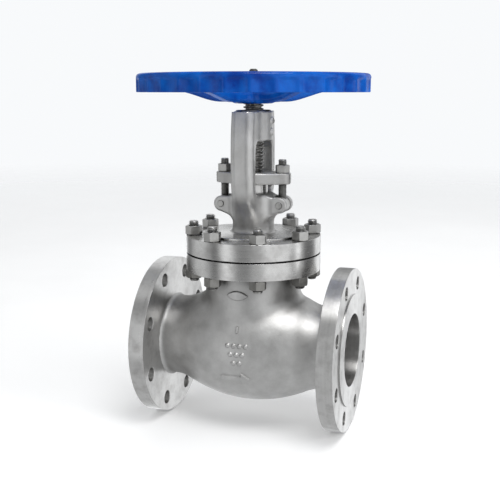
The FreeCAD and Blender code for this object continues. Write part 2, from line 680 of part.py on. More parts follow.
def thread_groove(body, name, low, height, crest, root, middle_width):
    """Cut a 30 degree trapezoidal thread groove, which winds up from the body's XZ plane.

    The width is measured halfway between the crest and root radii. The groove is cut a little past the
    crest, so that it breaks the surface cleanly.
    """
    sketch = new_sketch(body, f"{name}_outline", "XZ", up=low)
    past = math.copysign(0.6, number(crest) - number(root))
    slope = math.tan(math.radians(15))
    depth = abs(number(crest) - number(root))
    at_root = f"({middle_width}) / 2 - {depth * slope / 2:.5f}"
    at_crest = f"({middle_width}) / 2 + {(depth / 2 + abs(past)) * slope:.5f}"
    draw_outline(sketch, [(root, f"-({at_root})"), (f"{crest} + {past}", f"-({at_crest})"),
                          (f"{crest} + {past}", at_crest), (root, at_root)])
    groove = body.newObject("PartDesign::SubtractiveHelix", name)
    groove.Profile = sketch
    groove.ReferenceAxis = (sketch, ["V_Axis"])
    groove.Mode = 0
    bind(groove, Pitch="stem_pitch", Height=height)
    doc.recompute()


def make_stem():
    stem = new_body("stem_body")
    radius, neck_top = "stem_diameter / 2", "hub_bottom + hub_height - 1"
    revolve(stem, "stem_turned", [("0", "button_bottom"), ("stem_button / 2", "button_bottom"),
            ("stem_button / 2", "button_bottom + button_height"), (radius, "button_bottom + button_height"),
            (radius, "stem_collar_top - 13"), ("stem_collar / 2", "stem_collar_top - 11"),
            ("stem_collar / 2", "stem_collar_top - 4"), (radius, "stem_collar_top"),
            (radius, "thread_bottom - 4"), ("stem_root / 2", "thread_bottom - 2"),
            ("stem_root / 2", "thread_bottom"), (radius, "thread_bottom + 2"),
            (radius, "hub_bottom - 1"), (f"{radius} - 1", "hub_bottom"), ("0", "hub_bottom")])
    low = "thread_bottom - stem_pitch / 2"
    thread_groove(stem, "stem_thread", low, f"hub_bottom + stem_pitch - ({low})", radius, "stem_root / 2",
                  "stem_pitch / 2")
    half = "stem_square / 2"
    pad(stem, "stem_square_end", "XY", [(half, half), (f"-{half}", half), (f"-{half}", f"-{half}"),
        (half, f"-{half}")], f"{neck_top} - hub_bottom", out="hub_bottom")
    end = "stem_end_thread / 2"
    revolve(stem, "stem_end_threaded", [("0", neck_top), (end, neck_top), (end, "stem_end - 2"),
            (f"{end} - 2", "stem_end"), ("0", "stem_end")])
    keep("stem", stem)


def make_yoke_nut():
    nut = new_body("yoke_nut_body")
    bore = "stem_root / 2 + thread_play + 0.1"
    revolve(nut, "yoke_nut_turned", [(bore, "window_top"), ("yoke_nut_diameter / 2", "window_top"),
            ("yoke_nut_diameter / 2", "yoke_top - yoke_nut_collar_height"),
            ("yoke_nut_collar / 2", "yoke_top - yoke_nut_collar_height"), ("yoke_nut_collar / 2", "yoke_top"),
            (bore, "yoke_top")])
    # the stem's crests stand half a pitch above its grooves, and the nut's groove follows them
    turns_below = int((number("window_top") - number("thread_bottom")) / number("stem_pitch")) - 1
    low = f"thread_bottom + {turns_below} * stem_pitch"
    thread_groove(nut, "yoke_nut_thread", low, f"yoke_top + stem_pitch * 2 - ({low})",
                  "stem_root / 2 + thread_play", "stem_diameter / 2 + thread_play",
                  "stem_pitch / 2 + 2 * thread_play")
    keep("yoke_nut", nut)

    screw = new_body("set_screw_body")
    sketch = new_sketch(screw, "set_screw_outline", "YZ", out="yoke_nut_diameter / 2")
    draw_circle(sketch, "0", "set_screw_height", "set_screw / 2")
    add_feature(screw, "Pad", "set_screw_rod", sketch, Length=f"{SCREW_END} - yoke_nut_diameter / 2")
    doc.recompute()
    socket = [(across, f"set_screw_height + {up}") for across, up in hexagon("set_screw / 2")]
    pad(screw, "set_screw_socket", "YZ", socket, "set_screw / 2", cut=True, out=SCREW_END)
    keep("yoke_nut_set_screw", screw)


def make_handwheel():
    wheel = new_body("handwheel_body", turn=180)
    hub_top = "hub_bottom + hub_height"
    revolve(wheel, "wheel_hub_turned", [("0", "hub_bottom"), ("wheel_hub / 2", "hub_bottom"),
            ("wheel_hub / 2 - 2", hub_top), ("0", hub_top)])
    inner_wall = f"{RIM_INNER} + rim_wall"
    outer_wall = f"{RIM_OUTER} - rim_wall - flute_depth"
    root, reach = "wheel_hub / 2 - 4", f"({RIM_INNER} + 2)"
    raised = "hub_bottom + spoke_rise"
    spoke = [(root, "hub_bottom"), ("spoke_bend", "hub_bottom"), ("spoke_level", raised), (reach, raised),
             (reach, f"{raised} + spoke_depth"), ("spoke_level", f"{raised} + spoke_depth"),
             ("spoke_bend", "hub_bottom + spoke_depth"), (root, "hub_bottom + spoke_depth")]
    arm = pad(wheel, "spoke", "XZ", spoke, "spoke_width", midplane=True)
    repeat_around(wheel, "all_spokes", [arm], "spokes")
    revolve(wheel, "rim", [(RIM_INNER, "rim_bottom"), (inner_wall, "rim_bottom"),
            (inner_wall, "rim_top - rim_wall"), (outer_wall, "rim_top - rim_wall"),
            (outer_wall, "rim_bottom"), (RIM_OUTER, "rim_bottom"), (RIM_OUTER, "rim_top - 6", "-6"),
            (f"{RIM_OUTER} - 6", "rim_top"), (f"{RIM_INNER} + 6", "rim_top", "-6"),
            (RIM_INNER, "rim_top - 6")])
    flute = drill(wheel, "grip_flute", "XY", f"{RIM_OUTER} + flute_radius - flute_depth", 0, "flute_radius",
                  "rim_top - rim_bottom - 7", out="rim_top - 7")
    repeat_around(wheel, "grip_flute_ring", [flute], "grip_flutes")
    half = "stem_square / 2 + running_clearance"
    pad(wheel, "square_way", "XY", [(half, half), (f"-({half})", half), (f"-({half})", f"-({half})"),
        (half, f"-({half})")], "hub_height", cut=True, out=hub_top)
    keep("handwheel", wheel)

    washer = new_body("handwheel_washer_body")
    inner, outer = "stem_end_thread / 2 + 0.5", "washer_diameter / 2"
    washer_top = f"{hub_top} + washer_thickness"
    revolve(washer, "handwheel_washer_turned", [(inner, hub_top), (outer, hub_top), (outer, washer_top),
            (inner, washer_top)])
    keep("handwheel_washer", washer)
    nut = new_body("handwheel_nut_body")
    hex_nut(nut, "handwheel_nut_solid", "gland_nut_flats", "gland_nut_height - 1", "stem_end_thread / 2",
            bottom=washer_top)
    keep("handwheel_nut", nut)


make_body()
make_seat_and_disc()
make_bonnet()
make_cover_joint()
make_stuffing_box()
make_gland()
make_stem()
make_yoke_nut()
make_handwheel()

doc.recompute()
for item in doc.Objects:
    if {"Invalid", "Error"} & set(item.State):
        raise RuntimeError(f"{item.Label} is {item.State}")
os.makedirs("parts", exist_ok=True)
for node, item in nodes.items():
    if item.Shape.isNull() or not item.Shape.isValid():
        raise RuntimeError(f"{node} has no valid shape")
    item.Shape.exportStep(f"parts/{node}.step")
    print(f"{node}: {len(item.Shape.Solids)} solid(s), {item.Shape.Volume / 1000:.1f} cm3")
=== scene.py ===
"""Looks of a flanged globe valve: castings, turned rims, threads, fasteners, handwheel and their finishes.

Shapes are made in millimetres, measured from where the stem's axis crosses the run's centreline, and
moved to the row frame in metres when a piece is finished.
"""
import math

import bmesh
import bpy
import numpy as np
import openvdb
from mathutils import Matrix, Vector


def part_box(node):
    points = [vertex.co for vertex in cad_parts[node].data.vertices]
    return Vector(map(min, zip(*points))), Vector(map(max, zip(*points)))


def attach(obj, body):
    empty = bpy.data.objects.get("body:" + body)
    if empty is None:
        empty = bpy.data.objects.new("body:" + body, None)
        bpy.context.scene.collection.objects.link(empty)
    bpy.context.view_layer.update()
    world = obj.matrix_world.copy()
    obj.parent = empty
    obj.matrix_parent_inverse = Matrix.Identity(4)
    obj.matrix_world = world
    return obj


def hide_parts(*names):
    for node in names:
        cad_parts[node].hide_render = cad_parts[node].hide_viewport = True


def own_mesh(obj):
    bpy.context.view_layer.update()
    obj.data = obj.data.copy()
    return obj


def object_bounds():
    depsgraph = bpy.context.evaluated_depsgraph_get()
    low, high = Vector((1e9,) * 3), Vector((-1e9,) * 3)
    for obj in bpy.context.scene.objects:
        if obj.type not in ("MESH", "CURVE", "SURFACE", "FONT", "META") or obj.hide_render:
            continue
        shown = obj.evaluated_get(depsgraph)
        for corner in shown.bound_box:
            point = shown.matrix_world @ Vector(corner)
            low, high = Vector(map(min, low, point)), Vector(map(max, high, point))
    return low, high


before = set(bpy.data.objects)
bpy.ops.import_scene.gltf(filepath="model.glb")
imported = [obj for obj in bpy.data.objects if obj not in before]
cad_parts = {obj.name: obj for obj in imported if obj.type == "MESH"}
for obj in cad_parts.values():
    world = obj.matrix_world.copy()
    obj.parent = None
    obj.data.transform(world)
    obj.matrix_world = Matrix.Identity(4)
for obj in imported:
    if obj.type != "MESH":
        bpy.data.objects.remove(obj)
cad_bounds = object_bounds()

MILLIMETRES = 1000


def middle(node):
    low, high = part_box(node)
    return (low + high) / 2


STEM_X = middle("stem").x
TO_ROW_FRAME = Matrix.Translation((STEM_X, 0, 0)) @ Matrix.Scale(1 / MILLIMETRES, 4)
TO_RUN_AXIS = Matrix.Rotation(math.pi / 2, 4, "Y")
TO_CROSS_AXIS = Matrix.Rotation(-math.pi / 2, 4, "X")


def extent(node):
    """Lowest and highest corner of a CAD node in the script's own millimetres."""
    return [(corner - Vector((STEM_X, 0, 0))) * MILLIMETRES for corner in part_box(node)]


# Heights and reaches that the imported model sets

body_high = extent("body")[1]
bonnet_high = extent("bonnet")[1]
gland_low, gland_high = extent("gland_flange")
stud_low, stud_high = extent("bonnet_studs")
wheel_low, wheel_high = extent("handwheel")
wheel_nut_low, wheel_nut_high = extent("handwheel_nut")
eyebolt_low, eyebolt_high = extent("eyebolt_right")
gland_nut_low, gland_nut_high = extent("gland_nut_right")
pin_low, pin_high = extent("eyebolt_pin_right")
screw_low, screw_high = extent("yoke_nut_set_screw")
yoke_nut_low, yoke_nut_high = extent("yoke_nut")

HALF_LENGTH = body_high.x
FLANGE_RADIUS = body_high.y
BODY_JOINT = body_high.z
BONNET_JOINT = extent("bonnet_gasket")[1].z
COVER_RADIUS = bonnet_high.x
COVER_BOTTOM = extent("bonnet_nuts_lower")[1].z
COVER_TOP = extent("bonnet_nuts_upper")[0].z
STUD_NUT_HEIGHT = extent("bonnet_nuts_upper")[1].z - COVER_TOP
YOKE_TOP = bonnet_high.z
LUG_X = (eyebolt_low.x + eyebolt_high.x) / 2
LUG_Z = (pin_low.z + pin_high.z) / 2
PIN_RADIUS = (pin_high.z - pin_low.z) / 2

# Cast shell
GLOBE_RADIUS = 83.6
GLOBE_ARC = 192
SHELL_WALL = 9.6
NECK_RADIUS = 57.5
PORT_RADIUS = 51
COVER_NECK_RADIUS = 67.6
COVER_NECK_BORE = 59
RAISED_FACE = 2
RAISED_FACE_RADIUS = 78.6
FLANGE_RING = 22.3
FLANGE_BACK = HALF_LENGTH - RAISED_FACE - FLANGE_RING
BOLT_CIRCLE_RADIUS = 95.25
BOLT_HOLE_RADIUS = 9.5
BOLT_COUNT = 8
HALF_STEP = math.pi / BOLT_COUNT
HOLLOW_PLAY = 0.2
NECK_BLEND = 8
FLANGE_BLEND = 9
COVER_BLEND = 5
DIVIDING_LINE = [(-73, 62), (-65, 10), (65, 10), (73, -52)]
DIVIDING_HALF_WIDTH = 6
SEAT_WAYS = [(-3, 19, 55.1), (16, 32, 58.2)]

# Raised casting marks
PIP_STEP = 8.6
PIP_RADIUS = 3.1
MARK_HEIGHT = 2.2
MARK_ROOT = 0.8
MARK_DEPTH = 2.4

# Bolted cover
STUD_CIRCLE_RADIUS = 84
STUD_RADIUS = 7
STUD_PITCH = 2
STUD_HOLE_RADIUS = 8
STUD_NUT_FLATS = 21
GOLDEN_ANGLE = math.pi * (3 - math.sqrt(5))
PLATFORM_RADIUS = 71
PLATFORM_TOP = 161
SPIGOT_BOTTOM = BODY_JOINT - 5
SPIGOT_PLAY = 0.3

# Bonnet neck and yoke
STUFFING_RADIUS = 28.3
STUFFING_TOP = 211
STUFFING_BORE = 20.5
STUFFING_BOTTOM = 150
STEM_BORE = 16
BUSHING_BORE = 22.02
BUSHING_TOP = 144
ARM_HALF_WIDTH = 16.6
ARM_CORNER = 11
ARM_FOOT = (27, 184)
ARM_SHOULDER = (53, 210)
ARM_TOP_REACH = 51.8
ARM_BOW = 400
WINDOW_REACH = 39
WINDOW_TOP = yoke_nut_low.z
WINDOW_CORNER = 16
HUB_RADIUS = 27
NUT_BORE = 20
NUT_COLLAR_BORE = 23
NUT_COLLAR_BOTTOM = yoke_nut_high.z - 4
SCREW_RADIUS = 3
ARM_BLEND = 18
LUG_BLEND = 9
HUB_BLEND = 8
LUG_RADIUS = 11
LUG_HALF_WIDTH = 18
LUG_SLOT = 7
EYEBOLT_RADIUS = 6
EYEBOLT_PITCH = 1.75
THREAD_PLAY = 0.1
EYE_HALF_WIDTH = 6.3
GLAND_NUT_FLATS = 18
FOLLOWER_RADIUS = 20
FOLLOWER_BORE = 14.5
GLAND_BORE = 15
PACKING_BORE = 14.05

# Handwheel
RIM_OUTER = wheel_high.y
RIM_WIDTH = 21
RIM_INNER = RIM_OUTER - RIM_WIDTH
RIM_BOTTOM = 354
RIM_WALL = 5
RIM_CORNER = 6
FLUTES = 32
FLUTE_DEPTH = 2.4
FLUTE_HALF_WIDTH = 14.2
SPOKES = 5
SPOKE_HALF_WIDTH = 8.5
SPOKE_HALF_DEPTH = 7
SPOKE_RISE = 15
SPOKE_BEND = 46
SPOKE_LEVEL = 118
WHEEL_HUB_RADIUS = 25.5
WHEEL_HUB_TOP = extent("handwheel_washer")[0].z
SQUARE_HALF = 9.55
WHEEL_WASHER_BORE = 6.5

# Studio. A panel is its centre and half size as angles round and up in degrees, its strength, and how
# soft its edge is where that isn't 8 degrees. The camera looks at a point given in metres.
UPPER_LIGHT = 0.54
LOWER_LIGHT = 0.70
STUDIO_PANELS = [
    ((-28, 4), (10, 26), 0.75), ((2, -4), (13, 20), -0.36), ((59, 4), (24, 26), 0.7),
    ((100, 5), (5, 40), 1.2, 4), ((127, 0), (16, 45), -0.42), ((-50, 5), (9, 45), -0.42),
    ((-85, 0), (16, 30), 0.2), ((38, 64), (30, 10), 0.5), ((-20, 50), (40, 4), -0.2, 4),
    ((165, 10), (16, 40), 0.7), ((-150, 5), (9, 50), 0.9), ((-120, 0), (10, 40), -0.35),
    ((-175, 0), (9, 40), -0.35)]
AIM_POINT = Vector((STEM_X - 0.00508, 0, 0.13304))


# Node trees

def add(tree, kind, inputs=None, **settings):
    """Add a shader node. An input given a socket is linked to it, and any other value is set."""
    made = tree.nodes.new(f"ShaderNode{kind}")
    for name, value in settings.items():
        setattr(made, name, value)
    for key, value in (inputs or {}).items():
        if isinstance(value, bpy.types.NodeSocket):
            tree.links.new(value, made.inputs[key])
        else:
            made.inputs[key].default_value = value
    return made


def math_node(tree, operation, *values):
    return add(tree, "Math", dict(enumerate(values)), operation=operation).outputs[0]


def noise(tree, place, scale, detail=3.0, roughness=0.55):
    settings = {"Vector": place, "Scale": scale, "Detail": detail, "Roughness": roughness}
    return add(tree, "TexNoise", settings).outputs[0]


def spread(tree, value, low, high, start=0.3, end=0.7):
    """Stretch a noise value from its middle band to run from low to high."""
    inputs = {"Value": value, "From Min": start, "From Max": end, "To Min": low, "To Max": high}
    return add(tree, "MapRange", inputs).outputs[0]


def mix_colours(tree, amount, first, second, blend="MIX"):
    mixed = tree.nodes.new("ShaderNodeMix")
    mixed.data_type, mixed.blend_type = "RGBA", blend
    for socket, value in zip((mixed.inputs[0], mixed.inputs[6], mixed.inputs[7]), (amount, first, second)):
        if isinstance(value, bpy.types.NodeSocket):
            tree.links.new(value, socket)
        else:
            socket.default_value = value
    return mixed.outputs[2]


def start_material(name, metallic, **settings):
    """A new material, its tree, its main shader and the place on the object in metres."""
    material = bpy.data.materials.new(name)
    material.use_nodes = True
    tree = material.node_tree
    shader = tree.nodes["Principled BSDF"]
    shader.inputs["Metallic"].default_value = metallic
    for key, value in settings.items():
        shader.inputs[key.replace("_", " ")].default_value = value
    place = add(tree, "TexCoord").outputs["Object"]
    return material, tree, shader, place


def connect(tree, shader, **sockets):
    for key, socket in sockets.items():
        tree.links.new(socket, shader.inputs[key.replace("_", " ")])


def bump(tree, height, distance, strength=1.0, before=None):
    inputs = {"Height": height, "Distance": distance, "Strength": strength}
    if before:
        inputs["Normal"] = before
    return add(tree, "Bump", inputs).outputs[0]


def crevice_dirt(tree, colour, dark, distance, open_from=0.75):
    """Painted shade: darken a colour in corners and crevices by their ambient occlusion."""
    shade = add(tree, "AmbientOcclusion", {"Distance": distance}, samples=8).outputs["AO"]
    return mix_colours(tree, spread(tree, shade, 1, 0, 0.15, open_from), colour, dark)


def cast_material():
    """Blasted and pickled cast stainless steel, with the mould's grain and a faint mottle."""
    material, tree, shader, place = start_material("blasted_cast_stainless", 1.0)
    mottle = noise(tree, place, 42, 5, 0.6)
    grain = noise(tree, place, 1500, 2)
    peel = noise(tree, place, 230, 3)
    pits = add(tree, "TexVoronoi", {"Vector": place, "Scale": 420.0}).outputs["Distance"]
    pit = spread(tree, pits, 1, 0, 0.06, 0.2)
    colour = mix_colours(tree, spread(tree, mottle, 0, 1), (0.42, 0.415, 0.405, 1), (0.60, 0.595, 0.585, 1))
    colour = mix_colours(tree, spread(tree, grain, 0, 0.35), colour, (0.70, 0.695, 0.685, 1))
    # Painted shade: the casting darker in its corners and hollows, by ambient occlusion.
    colour = crevice_dirt(tree, colour, (0.12, 0.118, 0.115, 1), 0.028, 0.84)
    rough = math_node(tree, "ADD", spread(tree, mottle, 0.42, 0.49), spread(tree, grain, -0.03, 0.05))
    height = math_node(tree, "SUBTRACT", peel, math_node(tree, "MULTIPLY", pit, 0.3))
    normal = bump(tree, grain, 0.00006, 0.8, bump(tree, height, 0.00022, 0.7))
    connect(tree, shader, Base_Color=colour, Roughness=rough, Normal=normal)
    return material


def ring_places(tree, place, axis, centre):
    """Distance from an axis, distance along it, and the direction round it."""
    offset = add(tree, "VectorMath", {0: place, 1: centre}, operation="SUBTRACT").outputs[0]
    parts = add(tree, "SeparateXYZ", {0: offset}).outputs
    across = [parts[index] for index in range(3) if index != axis]
    squares = [math_node(tree, "MULTIPLY", part, part) for part in across]
    out = math_node(tree, "SQRT", math_node(tree, "ADD", *squares))
    along = [0.0, 0.0, 0.0]
    along[axis] = 1.0
    around = add(tree, "VectorMath", {0: along, 1: offset}, operation="CROSS_PRODUCT").outputs[0]
    around = add(tree, "VectorMath", {0: around}, operation="NORMALIZE").outputs[0]
    tangent = add(tree, "VectorTransform", {0: around}, vector_type="VECTOR", convert_from="OBJECT",
                  convert_to="WORLD").outputs[0]
    return out, parts[axis], tangent


def turned_material(name, axis, centre, base, rough, groove=0.00005, stain=(0.33, 0.32, 0.31, 1)):
    """Lathe-turned metal: fine rings round the axis, with light handling marks."""
    material, tree, shader, place = start_material(name, 1.0, Anisotropic=0.7, Anisotropic_Rotation=0.25)
    out, along, tangent = ring_places(tree, place, axis, centre)
    rings = add(tree, "CombineXYZ", {0: out, 1: along}).outputs[0]
    fine = noise(tree, rings, 1700, 2)
    coarse = noise(tree, rings, 320, 2)
    smears = noise(tree, place, 60, 5, 0.65)
    bright = tuple(value * 1.09 for value in base[:3]) + (1,)
    colour = mix_colours(tree, spread(tree, coarse, 0, 1), base, bright)
    colour = mix_colours(tree, spread(tree, smears, 0, 0.6, 0.45, 0.72), colour, stain)
    # Painted shade in corners, by ambient occlusion.
    colour = crevice_dirt(tree, colour, (0.10, 0.10, 0.10, 1), 0.006)
    smeared = spread(tree, smears, -0.02, 0.05)
    level = math_node(tree, "ADD", spread(tree, coarse, rough - 0.02, rough + 0.03), smeared)
    normal = bump(tree, fine, groove, 0.6, bump(tree, coarse, groove * 2, 0.5))
    connect(tree, shader, Base_Color=colour, Roughness=level, Normal=normal, Tangent=tangent)
    return material


def fastener_material(name, dull, bright):
    """Machined stainless fasteners, with draw marks and painted shade darkening the threads."""
    material, tree, shader, place = start_material(name, 1.0)
    marks = add(tree, "Mapping", {"Vector": place, "Scale": (1.0, 1.0, 0.12)}).outputs[0]
    drawn = noise(tree, marks, 1300, 3)
    cloud = noise(tree, place, 90, 3)
    colour = mix_colours(tree, spread(tree, cloud, 0, 1), dull, bright)
    # Painted shade in the threads and corners, by ambient occlusion.
    colour = crevice_dirt(tree, colour, (0.02, 0.019, 0.017, 1), 0.007)
    rough = math_node(tree, "ADD", spread(tree, cloud, 0.30, 0.42), spread(tree, drawn, -0.03, 0.05))
    connect(tree, shader, Base_Color=colour, Roughness=rough, Normal=bump(tree, drawn, 0.00004, 0.6))
    return material


def oiled_material():
    """Dark, greased stem thread, with bare metal where the grease is thin."""
    material, tree, shader, place = start_material("oiled_stem_steel", 0.9, Coat_Weight=0.35,
                                                   Coat_Roughness=0.18)
    smear = noise(tree, place, 160, 4, 0.65)
    grain = noise(tree, place, 1100, 2)
    amount = spread(tree, smear, 0, 1, 0.42, 0.68)
    colour = mix_colours(tree, amount, (0.075, 0.072, 0.067, 1), (0.20, 0.195, 0.185, 1))
    rough = spread(tree, smear, 0.46, 0.28)
    connect(tree, shader, Base_Color=colour, Roughness=rough, Normal=bump(tree, grain, 0.00005, 0.6))
    return material


def bronze_material():
    material, tree, shader, place = start_material("yoke_nut_bronze", 1.0)
    cloud = noise(tree, place, 110, 4)
    grain = noise(tree, place, 900, 2)
    colour = mix_colours(tree, spread(tree, cloud, 0, 1), (0.32, 0.17, 0.065, 1), (0.55, 0.33, 0.13, 1))
    # Painted shade in the nut's corners, by ambient occlusion.
    colour = crevice_dirt(tree, colour, (0.05, 0.035, 0.02, 1), 0.005)
    rough = spread(tree, cloud, 0.3, 0.46)
    connect(tree, shader, Base_Color=colour, Roughness=rough, Normal=bump(tree, grain, 0.00005, 0.6))
    return material


def graphite_material():
    material, tree, shader, place = start_material("pressed_graphite", 0.15)
    flakes = add(tree, "TexVoronoi", {"Vector": place, "Scale": 1300.0}).outputs["Color"]
    cloud = noise(tree, place, 500, 3)
    colour = mix_colours(tree, spread(tree, cloud, 0, 1), (0.014, 0.014, 0.015, 1), (0.05, 0.05, 0.052, 1))
    rough = spread(tree, cloud, 0.42, 0.6)
    connect(tree, shader, Base_Color=colour, Roughness=rough, Normal=bump(tree, flakes, 0.00006, 0.5))
    return material


def paint_material():
    """Glossy blue enamel, a little uneven as a dipped casting is."""
    material, tree, shader, place = start_material("blue_enamel", 0.0, Specular_IOR_Level=0.0,
                                                   Coat_Weight=0.3, Coat_Roughness=0.1)
    peel = noise(tree, place, 210, 2)
    sag = noise(tree, place, 36, 3)
    grain = noise(tree, place, 900, 2)
    colour = mix_colours(tree, spread(tree, sag, 0, 1), (0.003, 0.028, 0.21, 1), (0.004, 0.100, 0.45, 1))
    colour = mix_colours(tree, spread(tree, grain, 0, 0.2, 0.5, 0.8), colour, (0.004, 0.14, 0.52, 1))
    rough = spread(tree, sag, 0.28, 0.42)
    normal = bump(tree, grain, 0.00003, 0.5, bump(tree, peel, 0.00022, 0.55))
    connect(tree, shader, Base_Color=colour, Roughness=rough, Normal=normal)
    return material


cast = cast_material()
turned_run = turned_material("turned_about_run", 0, (STEM_X, 0, 0), (0.53, 0.525, 0.515, 1), 0.30)
turned_stem = turned_material("turned_about_stem", 2, (STEM_X, 0, 0), (0.53, 0.525, 0.515, 1), 0.26)
gland_cast = turned_material("gland_stainless", 2, (STEM_X, 0, 0), (0.46, 0.455, 0.445, 1), 0.42, 0.00008)
fastener = fastener_material("bright_fastener_steel", (0.33, 0.325, 0.315, 1), (0.47, 0.465, 0.45, 1))
# A darker copy of the fastener steel: painted shade for the lower nuts under the cover flange.
oily_fastener = fastener_material("shaded_fastener_steel", (0.17, 0.165, 0.155, 1), (0.27, 0.265, 0.25, 1))
oiled = oiled_material()
bronze = bronze_material()
graphite = graphite_material()
paint = paint_material()
CASTING_MATERIALS = (cast, turned_run, turned_stem)
CAST, RUN_TURNED, STEM_TURNED = range(3)


# Meshes

def link(made):
    bpy.context.scene.collection.objects.link(made)
    return made


def linked_object(name, shape, materials):
    """An object in the scene that takes a loose shape as its mesh."""
    mesh = bpy.data.meshes.new(name)
    shape.to_mesh(mesh)
    shape.free()
    for material in materials:
        mesh.materials.append(material)
    return link(bpy.data.objects.new(name, mesh))


def solid(name, points, faces, place=None, materials=CASTING_MATERIALS, finish=CAST):
    """An object in millimetres with merged points and outward faces."""
    shape = bmesh.new()
    corners = [shape.verts.new(point) for point in points]
    for face in faces:
        shape.faces.new([corners[index] for index in face])
    bmesh.ops.remove_doubles(shape, verts=shape.verts, dist=0.001)
    bmesh.ops.dissolve_degenerate(shape, edges=shape.edges, dist=0.0005)
    bmesh.ops.recalc_face_normals(shape, faces=shape.faces)
    for face in shape.faces:
        face.material_index = finish
    if place:
        shape.transform(place)
    return linked_object(name, shape, materials)


def applied(made):
    """Take the object's modifiers into its mesh."""
    bpy.context.view_layer.update()
    evaluated = made.evaluated_get(bpy.context.evaluated_depsgraph_get())
    old, made.data = made.data, bpy.data.meshes.new_from_object(evaluated)
    made.modifiers.clear()
    bpy.data.meshes.remove(old)
    return made


def boolean(base, tool, operation):
    """Unite with, cut by or keep the overlap with another closed mesh, which is then removed."""
    step = base.modifiers.new("boolean", "BOOLEAN")
    step.operation, step.object, step.solver, step.material_mode = operation, tool, "MANIFOLD", "INDEX"
    applied(base)
    bpy.data.objects.remove(tool)
    return base


def joined(name, parts):
    """One object from several whose meshes don't touch."""
    shape = bmesh.new()
    for part in parts:
        shape.from_mesh(part.data)
    materials = list(parts[0].data.materials)
    for part in parts:
        bpy.data.objects.remove(part)
    return linked_object(name, shape, materials)


def copies(part, places):
    """Copies of a part at each place, joined, in its stead."""
    made = []
    for place in places:
        mesh = part.data.copy()
        mesh.transform(place)
        made.append(bpy.data.objects.new(part.name, mesh))
    name = part.name
    bpy.data.objects.remove(part)
    return joined(name, made)


def around_axis(radius, count, start, axis="Z"):
    """Places evenly spaced on a circle about an axis, each turned to face outwards."""
    lift = {"Z": Vector((radius, 0, 0)), "X": Vector((0, radius, 0))}[axis]
    return [Matrix.Rotation(start + 2 * math.pi * step / count, 4, axis) @ Matrix.Translation(lift)
            for step in range(count)]


def eased(corners, radius=0.8, parts=3):
    """Round the corners of a closed outline. A corner may carry its own radius as a third number."""
    result = []
    for index, corner in enumerate(corners):
        here = Vector(corner[:2])
        back = Vector(corners[index - 1][:2]) - here
        ahead = Vector(corners[(index + 1) % len(corners)][:2]) - here
        size = corner[2] if len(corner) > 2 else radius
        if size == 0:
            result.append(tuple(here))
            continue
        reach = min(size / math.tan(back.angle(ahead) / 2), back.length * 0.45, ahead.length * 0.45)
        start, end = here + back.normalized() * reach, here + ahead.normalized() * reach
        for step in range(parts + 1):
            part = step / parts
            result.append(tuple(start * (1 - part) ** 2 + here * 2 * part * (1 - part) + end * part ** 2))
    return result


def lathe(name, outline, steps=160, place=None, **looks):
    """A closed outline of (out, along) points turned about the Z axis."""
    count = len(outline)
    points = [(out * math.cos(turn), out * math.sin(turn), along)
              for turn in (2 * math.pi * step / steps for step in range(steps)) for out, along in outline]
    faces = []
    for step in range(steps):
        here, ahead = step * count, (step + 1) % steps * count
        for index in range(count):
            after = (index + 1) % count
            loop = [here + index, ahead + index, ahead + after, here + after]
            if outline[index][0] == 0 and outline[after][0] == 0:
                continue
            if outline[index][0] == 0:
                loop.remove(ahead + index)
            elif outline[after][0] == 0:
                loop.remove(ahead + after)
            faces.append(loop)
    return solid(name, points, faces, place, **looks)


def plain_ring(name, bore, radius, low, high, ease, material):
    section = eased([(bore, low), (radius, low), (radius, high), (bore, high)], ease)
    return lathe(name, section, 96, finish=0, materials=(material,))


def drill_bit(radius, low, high, lip=0.7, steps=48, place=None):
    """A tool for a hole from low to high, whose edges it eases."""
    past = 2
    outline = [(0, low - past), (radius + lip + past, low - past), (radius, low + lip), (radius, high - lip),
               (radius + lip + past, high + past), (0, high + past)]
    return lathe("drill", outline, steps, place, finish=RUN_TURNED)


def prism(name, corners, low, high, **looks):
    """An outline in the XY plane raised from low to high."""
    count = len(corners)
    points = [(x, y, low) for x, y in corners] + [(x, y, high) for x, y in corners]
    faces = [list(range(count)), list(range(count, 2 * count))]
    for index in range(count):
        after = (index + 1) % count
        faces.append([index, after, count + after, count + index])
    return solid(name, points, faces, **looks)


def ring_corners(radius, count, turn=0.0):
    angles = [turn + 2 * math.pi * step / count for step in range(count)]
    return [(radius * math.cos(angle), radius * math.sin(angle)) for angle in angles]


def threaded_rod(name, radius, pitch, low, high, steps=32, **looks):
    """A rod with a 60 degree thread along its whole length and chamfered ends.

    The rows of points follow the helix. Past an end they are held on the end circle, where they merge.
    """
    root = radius - 0.61 * pitch
    end_radius = root - 0.3
    section = [(0, root), (0.125, root), (0.4375, radius), (0.5625, radius)]
    turns = math.ceil((high - low) / pitch) + 2
    points = []
    for row in range(turns * steps + 1):
        angle = 2 * math.pi * row / steps
        for rise, out in section:
            z = min(max(low + pitch * (row / steps - 1 + rise), low), high)
            reach = min(out, end_radius + high - z, end_radius + z - low)
            points.append((reach * math.cos(angle), reach * math.sin(angle), z))
    width = len(section)
    faces = []
    for row in range(turns * steps):
        for part in range(width - 1):
            corner = row * width + part
            faces.append([corner, corner + width, corner + width + 1, corner + 1])
        if row + steps < turns * steps:
            here, above = row * width + width - 1, (row + steps) * width
            faces.append([here, here + width, above + width, above])
    for z in (low, high):
        centre = len(points)
        points += [(0, 0, z)] + [(x, y, z) for x, y in ring_corners(end_radius, steps)]
        faces += [[centre, centre + 1 + step, centre + 1 + (step + 1) % steps] for step in range(steps)]
    return solid(name, points, faces, **looks)


